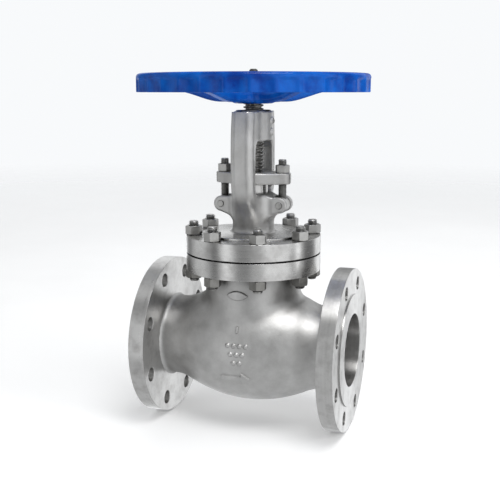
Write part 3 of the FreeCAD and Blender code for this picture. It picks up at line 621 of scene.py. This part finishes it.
def hex_nut(name, flats, height, bore, finish=fastener):
    """A hexagon nut with both faces chamfered and its bore countersunk, standing on the XY plane."""
    looks = {"materials": (finish,)}
    blank = prism(name, ring_corners(flats / math.sqrt(3), 6), 0, height, **looks)
    drop = 0.065 * flats
    outline = [(bore + 0.8, 0), (flats * 0.475, 0), (flats * 0.6, drop), (flats * 0.6, height - drop),
               (flats * 0.475, height), (bore + 0.8, height), (bore, height - 0.8), (bore, 0.8)]
    boolean(blank, lathe("nut_turning", outline, 96, **looks), "INTERSECT")
    edge = blank.modifiers.new("edge", "BEVEL")
    edge.width, edge.segments, edge.limit_method, edge.angle_limit = 0.22, 2, "ANGLE", math.radians(20)
    return applied(blank)


def finish_piece(made, body, slot, *nodes, sharp=32, weighted=True):
    """Move a piece to the row frame, shade it, hang it on what it rides on, and hide the CAD parts it stands
    for.
    """
    made.data.transform(TO_ROW_FRAME)
    made.data.shade_smooth()
    made.data.set_sharp_from_angle(angle=math.radians(sharp))
    if weighted:
        made.modifiers.new("face_weighted_normals", "WEIGHTED_NORMAL").keep_sharp = True
    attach(made, body)
    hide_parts(*nodes)
    return made


# Distance fields: negative inside, in millimetres

def smooth_union(first, second, reach):
    blend = np.clip(0.5 + 0.5 * (second - first) / reach, 0, 1)
    return second + (first - second) * blend - reach * blend * (1 - blend)


def smooth_cut(first, second, reach):
    return -smooth_union(-first, second, reach)


def rounded_overlap(first, second, radius):
    """Where two fields overlap, with the corner between them rounded."""
    first, second = first + radius, second + radius
    beyond = np.hypot(np.maximum(first, 0), np.maximum(second, 0))
    return np.minimum(np.maximum(first, second), 0) + beyond - radius


def rod_field(along, out, centre, half, radius, edge):
    return rounded_overlap(np.abs(along - centre) - half, out - radius, edge)


def post_field(z, out, low, high, radius, edge):
    """A rod that stands from one height to another."""
    return rod_field(z, out, (low + high) / 2, (high - low) / 2, radius, edge)


def bowl_field(along, out, greatest, arc):
    """An arc turned about an axis, as the side of a barrel."""
    return np.hypot(along, out + arc - greatest) - arc


def box_field(across, up, half_across, half_up, corner):
    return rounded_overlap(np.abs(across) - half_across, np.abs(up) - half_up, corner)


def segment_field(x, z, start, end):
    """Distance to a straight line between two points of the XZ plane."""
    run_x, run_z = end[0] - start[0], end[1] - start[1]
    part = np.clip(((x - start[0]) * run_x + (z - start[1]) * run_z) / (run_x ** 2 + run_z ** 2), 0, 1)
    return np.hypot(x - start[0] - part * run_x, z - start[1] - part * run_z)


def ripple(x, y, z):
    """The slight unevenness of a sand casting."""
    return (0.16 * np.sin(x / 9.1 + 0.7) * np.sin(y / 11.3 + 1.9) * np.sin(z / 8.3 + 0.4)
            + 0.10 * np.sin(x / 5.3 + 2.1) * np.sin(y / 4.7 + 0.3) * np.sin(z / 6.1 + 1.2))


def smooth_step(part):
    """Ease a share that goes from 0 to 1 at both its ends."""
    return part * part * (3 - 2 * part)


def slope_at(points, field, step):
    """How fast a field rises along each axis."""
    rises = [field(*(points + offset).T) - field(*(points - offset).T) for offset in np.eye(3) * step]
    return np.stack(rises, axis=1) / (2 * step)


def settled(points, field, step=0.05, furthest=1.0):
    """Move points straight onto the zero surface of a field."""
    slope = slope_at(points, field, step)
    steep = np.maximum((slope ** 2).sum(axis=1), 0.3)
    move = np.clip(field(*points.T) / steep, -furthest, furthest)
    return points - slope * move[:, None]


def skin(name, field, low, high, voxel, **looks):
    """A closed mesh on the zero surface of a distance field."""
    low = np.array(low, float)
    axes = [np.arange(start, end + voxel, voxel) for start, end in zip(low, high)]
    values = np.asarray(field(*np.meshgrid(*axes, indexing="ij", sparse=True)), np.float32)
    grid = openvdb.FloatGrid(voxel * 3)
    grid.copyFromArray(values)
    points, quads = grid.convertToQuads(isovalue=0.0)
    points = settled(settled(np.asarray(points, float) * voxel + low, field), field)
    return solid(name, points.tolist(), np.asarray(quads).tolist(), **looks)


# Valve body

def body_outside(x, y, z):
    around_run, around_stem = np.hypot(y, z), np.hypot(x, y)
    outside = bowl_field(x, around_run, GLOBE_RADIUS, GLOBE_ARC)
    outside = smooth_union(outside, rod_field(x, around_run, 0, FLANGE_BACK + 6, NECK_RADIUS, 1),
                           NECK_BLEND)
    outside = smooth_union(outside, rod_field(z, around_stem, 58, 60, COVER_NECK_RADIUS, 1), FLANGE_BLEND)
    end_slab = rod_field(np.abs(x), around_run, FLANGE_BACK + 9.5, 8, FLANGE_RADIUS - 14, 1)
    outside = smooth_union(outside, end_slab, FLANGE_BLEND)
    cover_slab = rod_field(z, around_stem, COVER_BOTTOM + 11, 9.6, COVER_RADIUS - 9, 1)
    return smooth_union(outside, cover_slab, COVER_BLEND) + ripple(x, y, z)


def body_field(x, y, z):
    """The shell, the wall between the two chambers, and the way cut for the seat."""
    around_run, around_stem = np.hypot(y, z), np.hypot(x, y)
    hollow = bowl_field(x, around_run, GLOBE_RADIUS - SHELL_WALL, GLOBE_ARC - SHELL_WALL)
    hollow = smooth_union(hollow, around_run - PORT_RADIUS - HOLLOW_PLAY, 14)
    chamber = smooth_union(hollow, np.maximum(around_stem - COVER_NECK_BORE - HOLLOW_PLAY, -z), 6)
    shell = np.maximum(body_outside(x, y, z), -chamber)
    wall = np.minimum.reduce([segment_field(x, z, *ends) for ends in zip(DIVIDING_LINE, DIVIDING_LINE[1:])])
    wall = np.maximum(wall - DIVIDING_HALF_WIDTH, hollow - 3)
    shell = smooth_union(shell, wall, 7)
    seat_ways = [post_field(z, around_stem, low, high, radius, 0.2) for low, high, radius in SEAT_WAYS]
    return np.maximum(shell, -np.minimum.reduce(seat_ways))


def make_body():
    reach, face = 106, HALF_LENGTH - RAISED_FACE
    casting = skin("body_casting", body_field, (-HALF_LENGTH, -reach, -reach),
                   (HALF_LENGTH, reach, BODY_JOINT + 4), 2.0)
    ring = eased([(PORT_RADIUS, FLANGE_BACK), (FLANGE_RADIUS, FLANGE_BACK), (FLANGE_RADIUS, face),
                  (RAISED_FACE_RADIUS, face, 0.5), (RAISED_FACE_RADIUS, HALF_LENGTH, 0.5),
                  (PORT_RADIUS, HALF_LENGTH)])
    for sign in (1, -1):
        place = TO_RUN_AXIS if sign > 0 else Matrix.Rotation(math.pi, 4, "Z") @ TO_RUN_AXIS
        boolean(casting, lathe("end_flange", ring, 256, place, finish=RUN_TURNED), "UNION")
    cover = eased([(COVER_NECK_BORE, COVER_BOTTOM), (COVER_RADIUS, COVER_BOTTOM),
                   (COVER_RADIUS, BODY_JOINT, 0.3), (COVER_NECK_BORE, BODY_JOINT)])
    boolean(casting, lathe("cover_flange", cover, 256, finish=STEM_TURNED), "UNION")

    holes = []
    for low, high in ((FLANGE_BACK, face), (-face, -FLANGE_BACK)):
        bit = drill_bit(BOLT_HOLE_RADIUS, low, high, place=TO_RUN_AXIS)
        holes.append(copies(bit, around_axis(BOLT_CIRCLE_RADIUS, BOLT_COUNT, HALF_STEP, "X")))
    bit = drill_bit(STUD_HOLE_RADIUS, COVER_BOTTOM, BODY_JOINT)
    holes.append(copies(bit, around_axis(STUD_CIRCLE_RADIUS, BOLT_COUNT, HALF_STEP)))
    boolean(casting, joined("holes", holes), "DIFFERENCE")
    finish_piece(casting, "valve", "cast_stainless", "body")


# Raised casting marks on the front of the globe, all blank or plain

def pad_mark(u, v):
    """A lens."""
    return (np.hypot(u, np.abs(v) + 14) - 20.5) * 0.9


def bar_mark(u, v):
    return box_field(u, v, 1.8, 4.5, 1.2)


def pip_marks(u, v):
    """Three rows of blank pips, fewer in each lower row."""
    pips = []
    for row, count in enumerate((4, 3, 2)):
        above = v - PIP_STEP * 1.4 * (1 - row)
        pips += [np.hypot(u - PIP_STEP * (index - (count - 1) / 2), above) - PIP_RADIUS
                 for index in range(count)]
    return np.minimum.reduce(pips)


def arrow_mark(u, v):
    """A flow arrow that points to the outlet."""
    shaft = box_field(u + 5, v, 16, 3.4, 0.8)
    head = np.maximum(8 - u, (u - 21) * 0.58 + np.abs(v) * 0.81)
    return np.minimum(shaft, head)


def raised_mark(name, outline, x, z, half_width, half_height, soft=1.8):
    """A slab that follows the casting's front and stands proud of it inside the outline."""
    cell = 0.6
    u = np.arange(-half_width, half_width + cell, cell)
    v = np.arange(-half_height, half_height + cell, cell)
    across, up = (grid.ravel() for grid in np.meshgrid(u, v, indexing="ij"))
    points = np.stack([across + x, np.full_like(across, -FLANGE_RADIUS), up + z], axis=1)
    for _ in range(60):
        points[:, 1] += body_outside(*points.T) * 0.8
    normal = slope_at(points, body_outside, 0.2)
    normal /= np.linalg.norm(normal, axis=1)[:, None]
    inside = np.clip(0.5 - outline(across, up) / soft, 0, 1)
    lift = (MARK_HEIGHT + MARK_ROOT) * smooth_step(inside) - MARK_ROOT
    front, back = points + normal * lift[:, None], points - normal * MARK_DEPTH
    rows, columns = len(u), len(v)
    total = rows * columns
    grid = np.arange(total).reshape(rows, columns)
    corners = grid[:-1, :-1].ravel()
    sheet = np.stack([corners, corners + columns, corners + columns + 1, corners + 1], axis=1)
    faces = sheet.tolist() + (sheet + total).tolist()
    edge = np.concatenate([grid[:, 0], grid[-1, 1:], grid[-2::-1, -1], grid[0, -2:0:-1]]).tolist()
    faces += [[here, after, after + total, here + total] for here, after in zip(edge, edge[1:] + edge[:1])]
    made = solid(name, np.concatenate([front, back]).tolist(), faces, materials=(cast,))
    finish_piece(made, "valve", "cast_stainless", sharp=180, weighted=False)


def make_marks():
    """Each mark's place is given along the run and up, then half its patch's width and height."""
    raised_mark("cast_pad", pad_mark, -0.8, 81.7, 15, 9.5)
    raised_mark("cast_bar", bar_mark, 1.8, 36.1, 4, 7)
    raised_mark("cast_pips", pip_marks, 3, 3, 19, 20, soft=3.6)
    raised_mark("cast_flow_arrow", arrow_mark, 0, -32, 24, 10)


# Bonnet and yoke

def arm_blank(x, y, z):
    """The yoke's two arms before the window is cut: bowed outside, sloping in below the shoulders."""
    chord = Vector((ARM_TOP_REACH - ARM_SHOULDER[0], YOKE_TOP - ARM_SHOULDER[1]))
    half_way = Vector(ARM_SHOULDER) + chord / 2
    inwards = Vector((-chord.y, chord.x)).normalized()
    centre = half_way + inwards * math.sqrt(ARM_BOW ** 2 - (chord.length / 2) ** 2)
    bow = np.hypot(np.abs(y) - centre.x, z - centre.y) - ARM_BOW
    slope = Vector((ARM_SHOULDER[0] - ARM_FOOT[0], ARM_SHOULDER[1] - ARM_FOOT[1])).normalized()
    shoulder = (np.abs(y) - ARM_FOOT[0]) * slope.y - (z - ARM_FOOT[1]) * slope.x
    side = smooth_cut(bow, -shoulder, 9)
    return np.maximum(rounded_overlap(side, np.abs(x) - ARM_HALF_WIDTH, ARM_CORNER), z - YOKE_TOP)


def lug_field(x, y, z):
    """The two forked lugs that hold the swing bolts."""
    side = np.abs(x)
    tip = np.hypot(side - LUG_X, z - LUG_Z) - LUG_RADIUS
    under = (side - 20) * 0.355 - (z - LUG_Z + 19.8) * 0.935
    web = np.maximum(np.maximum(side - LUG_X, z - LUG_Z - LUG_RADIUS), under)
    lug = rounded_overlap(np.minimum(tip, web), np.abs(y) - LUG_HALF_WIDTH, 3)
    slot = np.maximum(np.abs(y) - LUG_SLOT, LUG_X - LUG_RADIUS - 1 - side)
    return smooth_cut(lug, slot, 1.5)


def bonnet_field(x, y, z):
    around_stem = np.hypot(x, y)
    neck = post_field(z, around_stem, COVER_TOP - 8, STUFFING_TOP, STUFFING_RADIUS, 1)
    slab = rod_field(z, around_stem, PLATFORM_TOP - 8, 7, PLATFORM_RADIUS - 6, 1)
    shape = smooth_union(neck, slab, 10)
    window_middle = (STUFFING_TOP + WINDOW_TOP) / 2
    window = box_field(y, z - window_middle, WINDOW_REACH, (WINDOW_TOP - STUFFING_TOP) / 2, WINDOW_CORNER)
    arms = smooth_cut(arm_blank(x, y, z), window, 3)
    hub = post_field(z, around_stem, WINDOW_TOP, YOKE_TOP, HUB_RADIUS, 1.2)
    arms = smooth_union(arms, hub, HUB_BLEND)
    shape = smooth_union(shape, arms, ARM_BLEND)
    shape = smooth_union(shape, lug_field(x, y, z), LUG_BLEND)
    for height in (screw_low.z + SCREW_RADIUS, screw_low.z - 12):
        boss = rod_field(x, np.hypot(y, z - height), 15, 14, 4.5, 0.8)
        shape = smooth_union(shape, boss, 2.5)
    return shape + ripple(x, y, z) * 0.6


def make_bonnet():
    reach = 78
    casting = skin("bonnet_casting", bonnet_field, (-reach, -reach, COVER_TOP - 12),
                   (reach, reach, YOKE_TOP + 3), 1.2)
    core, spigot = 22, COVER_NECK_BORE - SPIGOT_PLAY
    cover = eased([(core, SPIGOT_BOTTOM), (spigot, SPIGOT_BOTTOM), (spigot, BONNET_JOINT, 0.3),
                   (COVER_RADIUS, BONNET_JOINT, 1.7), (COVER_RADIUS, COVER_TOP),
                   (PLATFORM_RADIUS, COVER_TOP, 0.4), (PLATFORM_RADIUS, PLATFORM_TOP, 2),
                   (core, PLATFORM_TOP, 0.3)])
    boolean(casting, lathe("cover", cover, 256, finish=STEM_TURNED), "UNION")
    bottom, top, mouth = SPIGOT_BOTTOM - 3, STUFFING_TOP + 4, STUFFING_BORE + 1.1
    steps = [(0, bottom), (BUSHING_BORE, bottom), (BUSHING_BORE, BUSHING_TOP), (STEM_BORE, BUSHING_TOP),
             (STEM_BORE, STUFFING_BOTTOM), (STUFFING_BORE, STUFFING_BOTTOM),
             (STUFFING_BORE, STUFFING_TOP - 0.6), (mouth, STUFFING_TOP + 0.5), (mouth, top), (0, top)]
    stem_way = lathe("stem_way", steps, 96, finish=STEM_TURNED)
    bottom, top = WINDOW_TOP - 3, YOKE_TOP + 2
    steps = [(0, bottom), (NUT_BORE, bottom), (NUT_BORE, NUT_COLLAR_BOTTOM),
             (NUT_COLLAR_BORE, NUT_COLLAR_BOTTOM), (NUT_COLLAR_BORE, top), (0, top)]
    nut_way = lathe("nut_way", steps, 96, finish=STEM_TURNED)
    bit = drill_bit(STUD_HOLE_RADIUS, BONNET_JOINT, COVER_TOP)
    studs = copies(bit, around_axis(STUD_CIRCLE_RADIUS, BOLT_COUNT, HALF_STEP))
    pin_places = [Matrix.Translation((x, 0, LUG_Z)) @ TO_CROSS_AXIS for x in (-LUG_X, LUG_X)]
    pin_ways = [drill_bit(PIN_RADIUS, -LUG_HALF_WIDTH, LUG_HALF_WIDTH, 0.4, place=place)
                for place in pin_places]
    screw_place = Matrix.Translation((0, 0, screw_low.z + SCREW_RADIUS)) @ TO_RUN_AXIS
    screw_way = drill_bit(SCREW_RADIUS, 12, screw_high.x - 1, 0.3, place=screw_place)
    boolean(casting, joined("ways", [stem_way, nut_way, studs, *pin_ways]), "DIFFERENCE")
    boolean(casting, screw_way, "DIFFERENCE")
    finish_piece(casting, "valve", "cast_stainless", "bonnet")


# Fasteners and gland

def make_cover_fasteners():
    places = [place @ Matrix.Rotation(index * GOLDEN_ANGLE, 4, "Z")
              for index, place in enumerate(around_axis(STUD_CIRCLE_RADIUS, BOLT_COUNT, HALF_STEP))]
    stud = threaded_rod("cover_studs", STUD_RADIUS, STUD_PITCH, stud_low.z, stud_high.z,
                        materials=(fastener,))
    finish_piece(copies(stud, places), "valve", "fastener_stainless", "bonnet_studs", weighted=False)
    # The lower nuts take the darker copy of the fastener steel, painted shade for where they sit under the
    # cover flange.
    for name, node, low, finish in (
            ("cover_nuts_upper", "bonnet_nuts_upper", COVER_TOP, fastener),
            ("cover_nuts_lower", "bonnet_nuts_lower", COVER_BOTTOM - STUD_NUT_HEIGHT, oily_fastener)):
        nut = hex_nut(name, STUD_NUT_FLATS, STUD_NUT_HEIGHT, STUD_RADIUS, finish)
        raised = [place @ Matrix.Translation((0, 0, low)) for place in places]
        finish_piece(copies(nut, raised), "valve", "fastener_stainless", node)


def make_swing_bolts():
    for side, sign in (("left", -1), ("right", 1)):
        place = Matrix.Translation((sign * LUG_X, 0, 0))
        looks = {"materials": (fastener,)}
        bolt = threaded_rod(f"swing_bolt_{side}", EYEBOLT_RADIUS, EYEBOLT_PITCH, LUG_Z + 6.5,
                            eyebolt_high.z, **looks)
        eye_radius = LUG_Z - eyebolt_low.z
        eye = eased([(0, -EYE_HALF_WIDTH, 0), (eye_radius, -EYE_HALF_WIDTH), (eye_radius, EYE_HALF_WIDTH),
                     (0, EYE_HALF_WIDTH, 0)], 1.6, 4)
        at_eye = Matrix.Translation((0, 0, LUG_Z)) @ TO_CROSS_AXIS
        boolean(bolt, lathe("eye", eye, 64, at_eye, **looks), "UNION")
        boolean(bolt, drill_bit(PIN_RADIUS, -EYE_HALF_WIDTH, EYE_HALF_WIDTH, 0.5, place=at_eye), "DIFFERENCE")
        bolt.data.transform(place)
        finish_piece(bolt, "valve", "fastener_stainless", f"eyebolt_{side}")

        ends = [(0, pin_low.y, 0), (PIN_RADIUS, pin_low.y), (PIN_RADIUS, pin_high.y), (0, pin_high.y, 0)]
        pin = lathe(f"swing_pin_{side}", eased(ends, 0.9), 48, place @ at_eye, **looks)
        finish_piece(pin, "valve", "fastener_stainless", f"eyebolt_pin_{side}")

        nut = hex_nut(f"swing_nut_{side}", GLAND_NUT_FLATS, gland_nut_high.z - gland_nut_low.z,
                      EYEBOLT_RADIUS + THREAD_PLAY)
        nut.data.transform(place @ Matrix.Translation((0, 0, gland_nut_low.z)))
        finish_piece(nut, f"gland_nut_{side}", "fastener_stainless", f"gland_nut_{side}")


def gland_field(x, y, z):
    """A plate whose outline wraps the round boss and the two rounded ends."""
    boss, tip = gland_high.y, gland_high.x - LUG_X
    lean = (boss - tip) / LUG_X
    flat = math.sqrt(1 - lean ** 2)
    along, across = np.abs(x), np.abs(y)
    side = along * flat - across * lean
    straight = across * flat + along * lean - boss
    outline = np.where(side < 0, np.hypot(along, across) - boss, straight)
    outline = np.where(side > flat * LUG_X, np.hypot(along - LUG_X, across) - tip, outline)
    half = (gland_high.z - gland_low.z) / 2
    return rounded_overlap(outline, np.abs(z - gland_low.z - half) - half, 2.2) + ripple(x, y, z) * 0.4


def make_gland():
    low, high = gland_low - Vector((3, 3, 3)), gland_high + Vector((3, 3, 3))
    plate = skin("gland_plate", gland_field, low, high, 1.0, materials=(gland_cast,))
    sleeve_low, sleeve_high = extent("gland_follower")
    bottom, top, counterbore = gland_low.z - 2, gland_high.z + 1.2, FOLLOWER_RADIUS + 0.1
    steps = [(0, bottom), (counterbore, bottom), (counterbore, sleeve_high.z), (GLAND_BORE, sleeve_high.z),
             (GLAND_BORE, top - 2), (GLAND_BORE + 2, top), (0, top)]
    boolean(plate, lathe("way", steps, 96, materials=(gland_cast,)), "DIFFERENCE")
    bit = drill_bit(EYEBOLT_RADIUS + 0.6, gland_low.z, gland_high.z)
    boolean(plate, copies(bit, around_axis(LUG_X, 2, 0)), "DIFFERENCE")
    finish_piece(plate, "gland", "gland_stainless", "gland_flange")

    follower = plain_ring("gland_sleeve", FOLLOWER_BORE, FOLLOWER_RADIUS, sleeve_low.z, sleeve_high.z, 0.7,
                          turned_stem)
    finish_piece(follower, "gland", "turned_stainless", "gland_follower")


def make_packing():
    """Graphite rings in one stack, on a mesh of its own."""
    names = sorted(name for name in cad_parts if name.startswith("packing_ring_"))
    rings = []
    for name in names:
        low, high = extent(name)
        rings.append(plain_ring("packing", PACKING_BORE, high.x, low.z, high.z, 0.5, graphite))
    stack = joined("packing_stack", rings)
    finish_piece(stack, "valve", "graphite", *names, weighted=False)
    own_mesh(stack)


# Handwheel

def spoke_field(x, y, z):
    """Five flared spokes that run level from the hub, rise, and meet the rim halfway up it."""
    out, angle = np.hypot(x, y), np.arctan2(y, x)
    step = 2 * math.pi / SPOKES
    angle = np.mod(angle - math.pi + step / 2, step) - step / 2
    reach, side = out * np.cos(angle), out * np.sin(angle)
    part = np.clip((reach - SPOKE_BEND) / (SPOKE_LEVEL - SPOKE_BEND), 0, 1)
    middle_height = wheel_low.z + SPOKE_HALF_DEPTH + SPOKE_RISE * smooth_step(part)
    flare = 5 * np.exp(-np.maximum(reach - WHEEL_HUB_RADIUS, 0) / 9) + 6 * np.exp((reach - RIM_INNER) / 9)
    bar = box_field(side, z - middle_height, SPOKE_HALF_WIDTH + flare, SPOKE_HALF_DEPTH, 4.5)
    return rounded_overlap(bar, np.abs(reach - RIM_INNER / 2 - 6) - RIM_INNER / 2 + 4, 1)


def wheel_field(x, y, z):
    out = np.hypot(x, y)
    hub = post_field(z, out, wheel_low.z, WHEEL_HUB_TOP, WHEEL_HUB_RADIUS, 2)
    rim_middle, rim_half = (RIM_BOTTOM + wheel_high.z) / 2, (wheel_high.z - RIM_BOTTOM) / 2
    wall = box_field(out - RIM_INNER - RIM_WALL / 2, z - rim_middle, RIM_WALL / 2 - 1, rim_half - 3, 1)
    shape = smooth_union(spoke_field(x, y, z), hub, 9)
    return smooth_union(shape, wall, 8) + ripple(x, y, z) * 0.6


def rim_points():
    """The rim's section, a channel open below, and how deep the grip flutes cut each of its points."""
    top, outer_inside = wheel_high.z, RIM_OUTER - RIM_WALL - FLUTE_DEPTH
    outside = [(RIM_OUTER, height) for height in (358, 361, 364, 366, 368, 369.5, 371)]
    outline = eased([(RIM_OUTER, RIM_BOTTOM, 1.2), (RIM_OUTER, top, RIM_CORNER), (RIM_INNER, top, RIM_CORNER),
                     (RIM_INNER, RIM_BOTTOM, 1.2), (RIM_INNER + RIM_WALL, RIM_BOTTOM, 1.2),
                     (RIM_INNER + RIM_WALL, top - RIM_WALL, 2), (outer_inside, top - RIM_WALL, 2),
                     (outer_inside, RIM_BOTTOM, 1.2)], parts=5)
    outline[6:6] = outside
    depths = []
    for out, height in outline:
        on_outside = out > (RIM_OUTER + outer_inside) / 2
        fade = min(max((top - RIM_CORNER - height) / 4, 0), 1)
        depths.append(FLUTE_DEPTH * smooth_step(fade) if on_outside else 0)
    return np.array(outline), np.array(depths)


def make_handwheel():
    outline, depths = rim_points()
    steps, count = FLUTES * 20, len(outline)
    angles = np.arange(steps) * 2 * math.pi / steps
    along_rim = (np.mod(angles + math.pi / FLUTES, 2 * math.pi / FLUTES) - math.pi / FLUTES) * RIM_OUTER
    hollow = np.clip(1 - (along_rim / FLUTE_HALF_WIDTH) ** 2, 0, 1)
    out = outline[:, 0][None, :] - depths[None, :] * hollow[:, None]
    points = np.stack([out * np.cos(angles)[:, None], out * np.sin(angles)[:, None],
                       np.broadcast_to(outline[:, 1], out.shape)], axis=2).reshape(-1, 3)
    here = np.arange(steps * count).reshape(steps, count)
    ahead = np.roll(here, -1, axis=0)
    faces = np.stack([here, ahead, np.roll(ahead, -1, axis=1), np.roll(here, -1, axis=1)], axis=2)
    looks = {"materials": (paint,)}
    reach = 148
    wheel = skin("handwheel_casting", wheel_field, (-reach, -reach, wheel_low.z - 3),
                 (reach, reach, wheel_high.z + 2), 1.5, **looks)
    boolean(wheel, solid("rim", points.tolist(), faces.reshape(-1, 4).tolist(), **looks), "UNION")
    square = ring_corners(SQUARE_HALF * math.sqrt(2), 4, math.pi / 4)
    boolean(wheel, prism("square_way", square, wheel_low.z - 2, WHEEL_HUB_TOP + 2, **looks), "DIFFERENCE")
    finish_piece(wheel, "stem_and_wheel", "blue_paint", "handwheel", sharp=40)

    nut = hex_nut("wheel_nut", GLAND_NUT_FLATS, wheel_nut_high.z - wheel_nut_low.z, EYEBOLT_RADIUS)
    nut.data.transform(Matrix.Translation((0, 0, wheel_nut_low.z)))
    finish_piece(nut, "stem_and_wheel", "fastener_stainless", "handwheel_nut")
    low, high = extent("handwheel_washer")
    washer = plain_ring("wheel_washer", WHEEL_WASHER_BORE, high.x, low.z, high.z, 0.5, fastener)
    finish_piece(washer, "stem_and_wheel", "fastener_stainless", "handwheel_washer")


# CAD parts that keep their shape

def dress_cad_parts():
    looks = {"stem": oiled, "yoke_nut": bronze, "yoke_nut_set_screw": fastener, "bonnet_gasket": graphite}
    turned = ("seat_ring", "disc", "disc_thrust_plate", "disc_nut", "backseat_bushing", "packing_washer")
    looks.update(dict.fromkeys(turned, turned_stem))
    for name, material in looks.items():
        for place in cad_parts[name].material_slots:
            place.material = material


# Floor, lights and camera

def make_floor():
    """A pale floor that fades out into the backdrop. Metal reflects the studio's lower half in its place."""
    size, low = 9.0, cad_bounds[0][2]
    corners = [(-size, -size, low), (size, -size, low), (size, size, low), (-size, size, low)]
    mesh = bpy.data.meshes.new("floor")
    mesh.from_pydata(corners, [], [(0, 1, 2, 3)])
    material, tree, shader, place = start_material("pale_floor", 0.0, Roughness=0.7, Emission_Strength=0.22,
                                                   Emission_Color=(1, 1, 1, 1))
    cloud = noise(tree, place, 3, 3)
    colour = mix_colours(tree, spread(tree, cloud, 0, 1), (0.80, 0.80, 0.80, 1), (0.84, 0.84, 0.84, 1))
    connect(tree, shader, Base_Color=colour)
    distance = add(tree, "VectorMath", {0: place}, operation="LENGTH").outputs["Value"]
    clear = add(tree, "BsdfTransparent").outputs[0]
    fade = spread(tree, distance, 0, 1, 0.5, 4.5)
    faded = add(tree, "MixShader", {0: fade, 1: shader.outputs[0], 2: clear})
    tree.links.new(faded.outputs[0], tree.nodes["Material Output"].inputs["Surface"])
    mesh.materials.append(material)
    floor = bpy.data.objects.new("floor", mesh)
    floor.visible_glossy = False
    link(floor)


def direction(turn, rise):
    """Where a thing stands by its angles round from the front towards the outlet and up."""
    return Vector((math.sin(turn) * math.cos(rise), -math.cos(turn) * math.cos(rise), math.sin(rise)))


def soft_light(name, target, turn, rise, distance, size, power):
    """A round soft box."""
    lamp = bpy.data.lights.new(name, "AREA")
    lamp.shape, lamp.size, lamp.energy = "DISK", size, power
    way = direction(math.radians(turn), math.radians(rise))
    made = bpy.data.objects.new(name, lamp)
    made.location = target + way * distance
    made.rotation_euler = (target - made.location).to_track_quat("-Z", "Y").to_euler()
    return link(made)


def panel(tree, turn, rise, centre, half, strength, soft=8):
    """A soft-edged bright or dark panel of the studio.

    Its centre and half size are angles in degrees: round from the front towards the outlet, and up.
    """
    shares = []
    for angle, middle_angle, reach in ((turn, centre[0], half[0]), (rise, centre[1], half[1])):
        offset = math_node(tree, "SUBTRACT", angle, math.radians(middle_angle))
        offset = math_node(tree, "ABSOLUTE", math_node(tree, "WRAP", offset, math.pi, -math.pi))
        edges = {"Value": offset, "From Min": math.radians(reach + soft),
                 "From Max": math.radians(max(reach - soft, 0))}
        shares.append(add(tree, "MapRange", edges, interpolation_type="SMOOTHSTEP").outputs[0])
    return math_node(tree, "MULTIPLY", math_node(tree, "MULTIPLY", *shares), strength)


def make_studio():
    """A plain white backdrop, with the soft boxes and black flags that give bare metal its bands."""
    world = bpy.data.worlds.new("studio")
    bpy.context.scene.world = world
    world.use_nodes = True
    tree = world.node_tree
    way = add(tree, "SeparateXYZ", {0: add(tree, "TexCoord").outputs["Generated"]}).outputs
    turn = math_node(tree, "ARCTAN2", way[0], math_node(tree, "MULTIPLY", way[1], -1.0))
    rise = math_node(tree, "ARCSINE", way[2])
    light = add(tree, "MapRange", {"Value": way[2], "From Min": -0.5, "From Max": 0.3, "To Min": LOWER_LIGHT,
                                   "To Max": UPPER_LIGHT}, interpolation_type="SMOOTHSTEP").outputs[0]
    for spot in STUDIO_PANELS:
        light = math_node(tree, "ADD", light, panel(tree, turn, rise, *spot))
    light = math_node(tree, "MAXIMUM", light, 0.07)
    backdrop = add(tree, "LightPath").outputs["Is Camera Ray"]
    strength = add(tree, "MapRange", {"Value": backdrop, "To Min": light, "To Max": 0.97}).outputs[0]
    background = tree.nodes["Background"]
    background.inputs["Color"].default_value = (0.97, 0.985, 1.0, 1)
    tree.links.new(strength, background.inputs["Strength"])


def make_lights(target):
    """A key for the shadow and the globe's highlight, and two lights for paint that metal doesn't mirror."""
    soft_light("key", target, 40, 64, 1.7, 0.95, 15)
    soft_light("fill", target, 75, 22, 1.9, 0.8, 12).visible_glossy = False
    soft_light("back", target, 178, 40, 2.2, 1.1, 7).visible_glossy = False


def make_camera(target):
    azimuth, pitch, distance = math.radians(18.713), math.radians(10.636), 1.20976
    camera = bpy.data.cameras.new("camera")
    camera.lens, camera.sensor_width = 61.16, 36
    made = bpy.data.objects.new("camera", camera)
    made.location = target + distance * direction(azimuth, pitch)
    made.rotation_euler = (math.pi / 2 - pitch, 0, azimuth)
    bpy.context.scene.camera = link(made)


make_body()
make_marks()
make_bonnet()
make_cover_fasteners()
make_swing_bolts()
make_gland()
make_packing()
make_handwheel()
dress_cad_parts()
make_floor()
make_studio()
make_lights(AIM_POINT)
make_camera(AIM_POINT)
bpy.context.scene.view_settings.view_transform = "Standard"
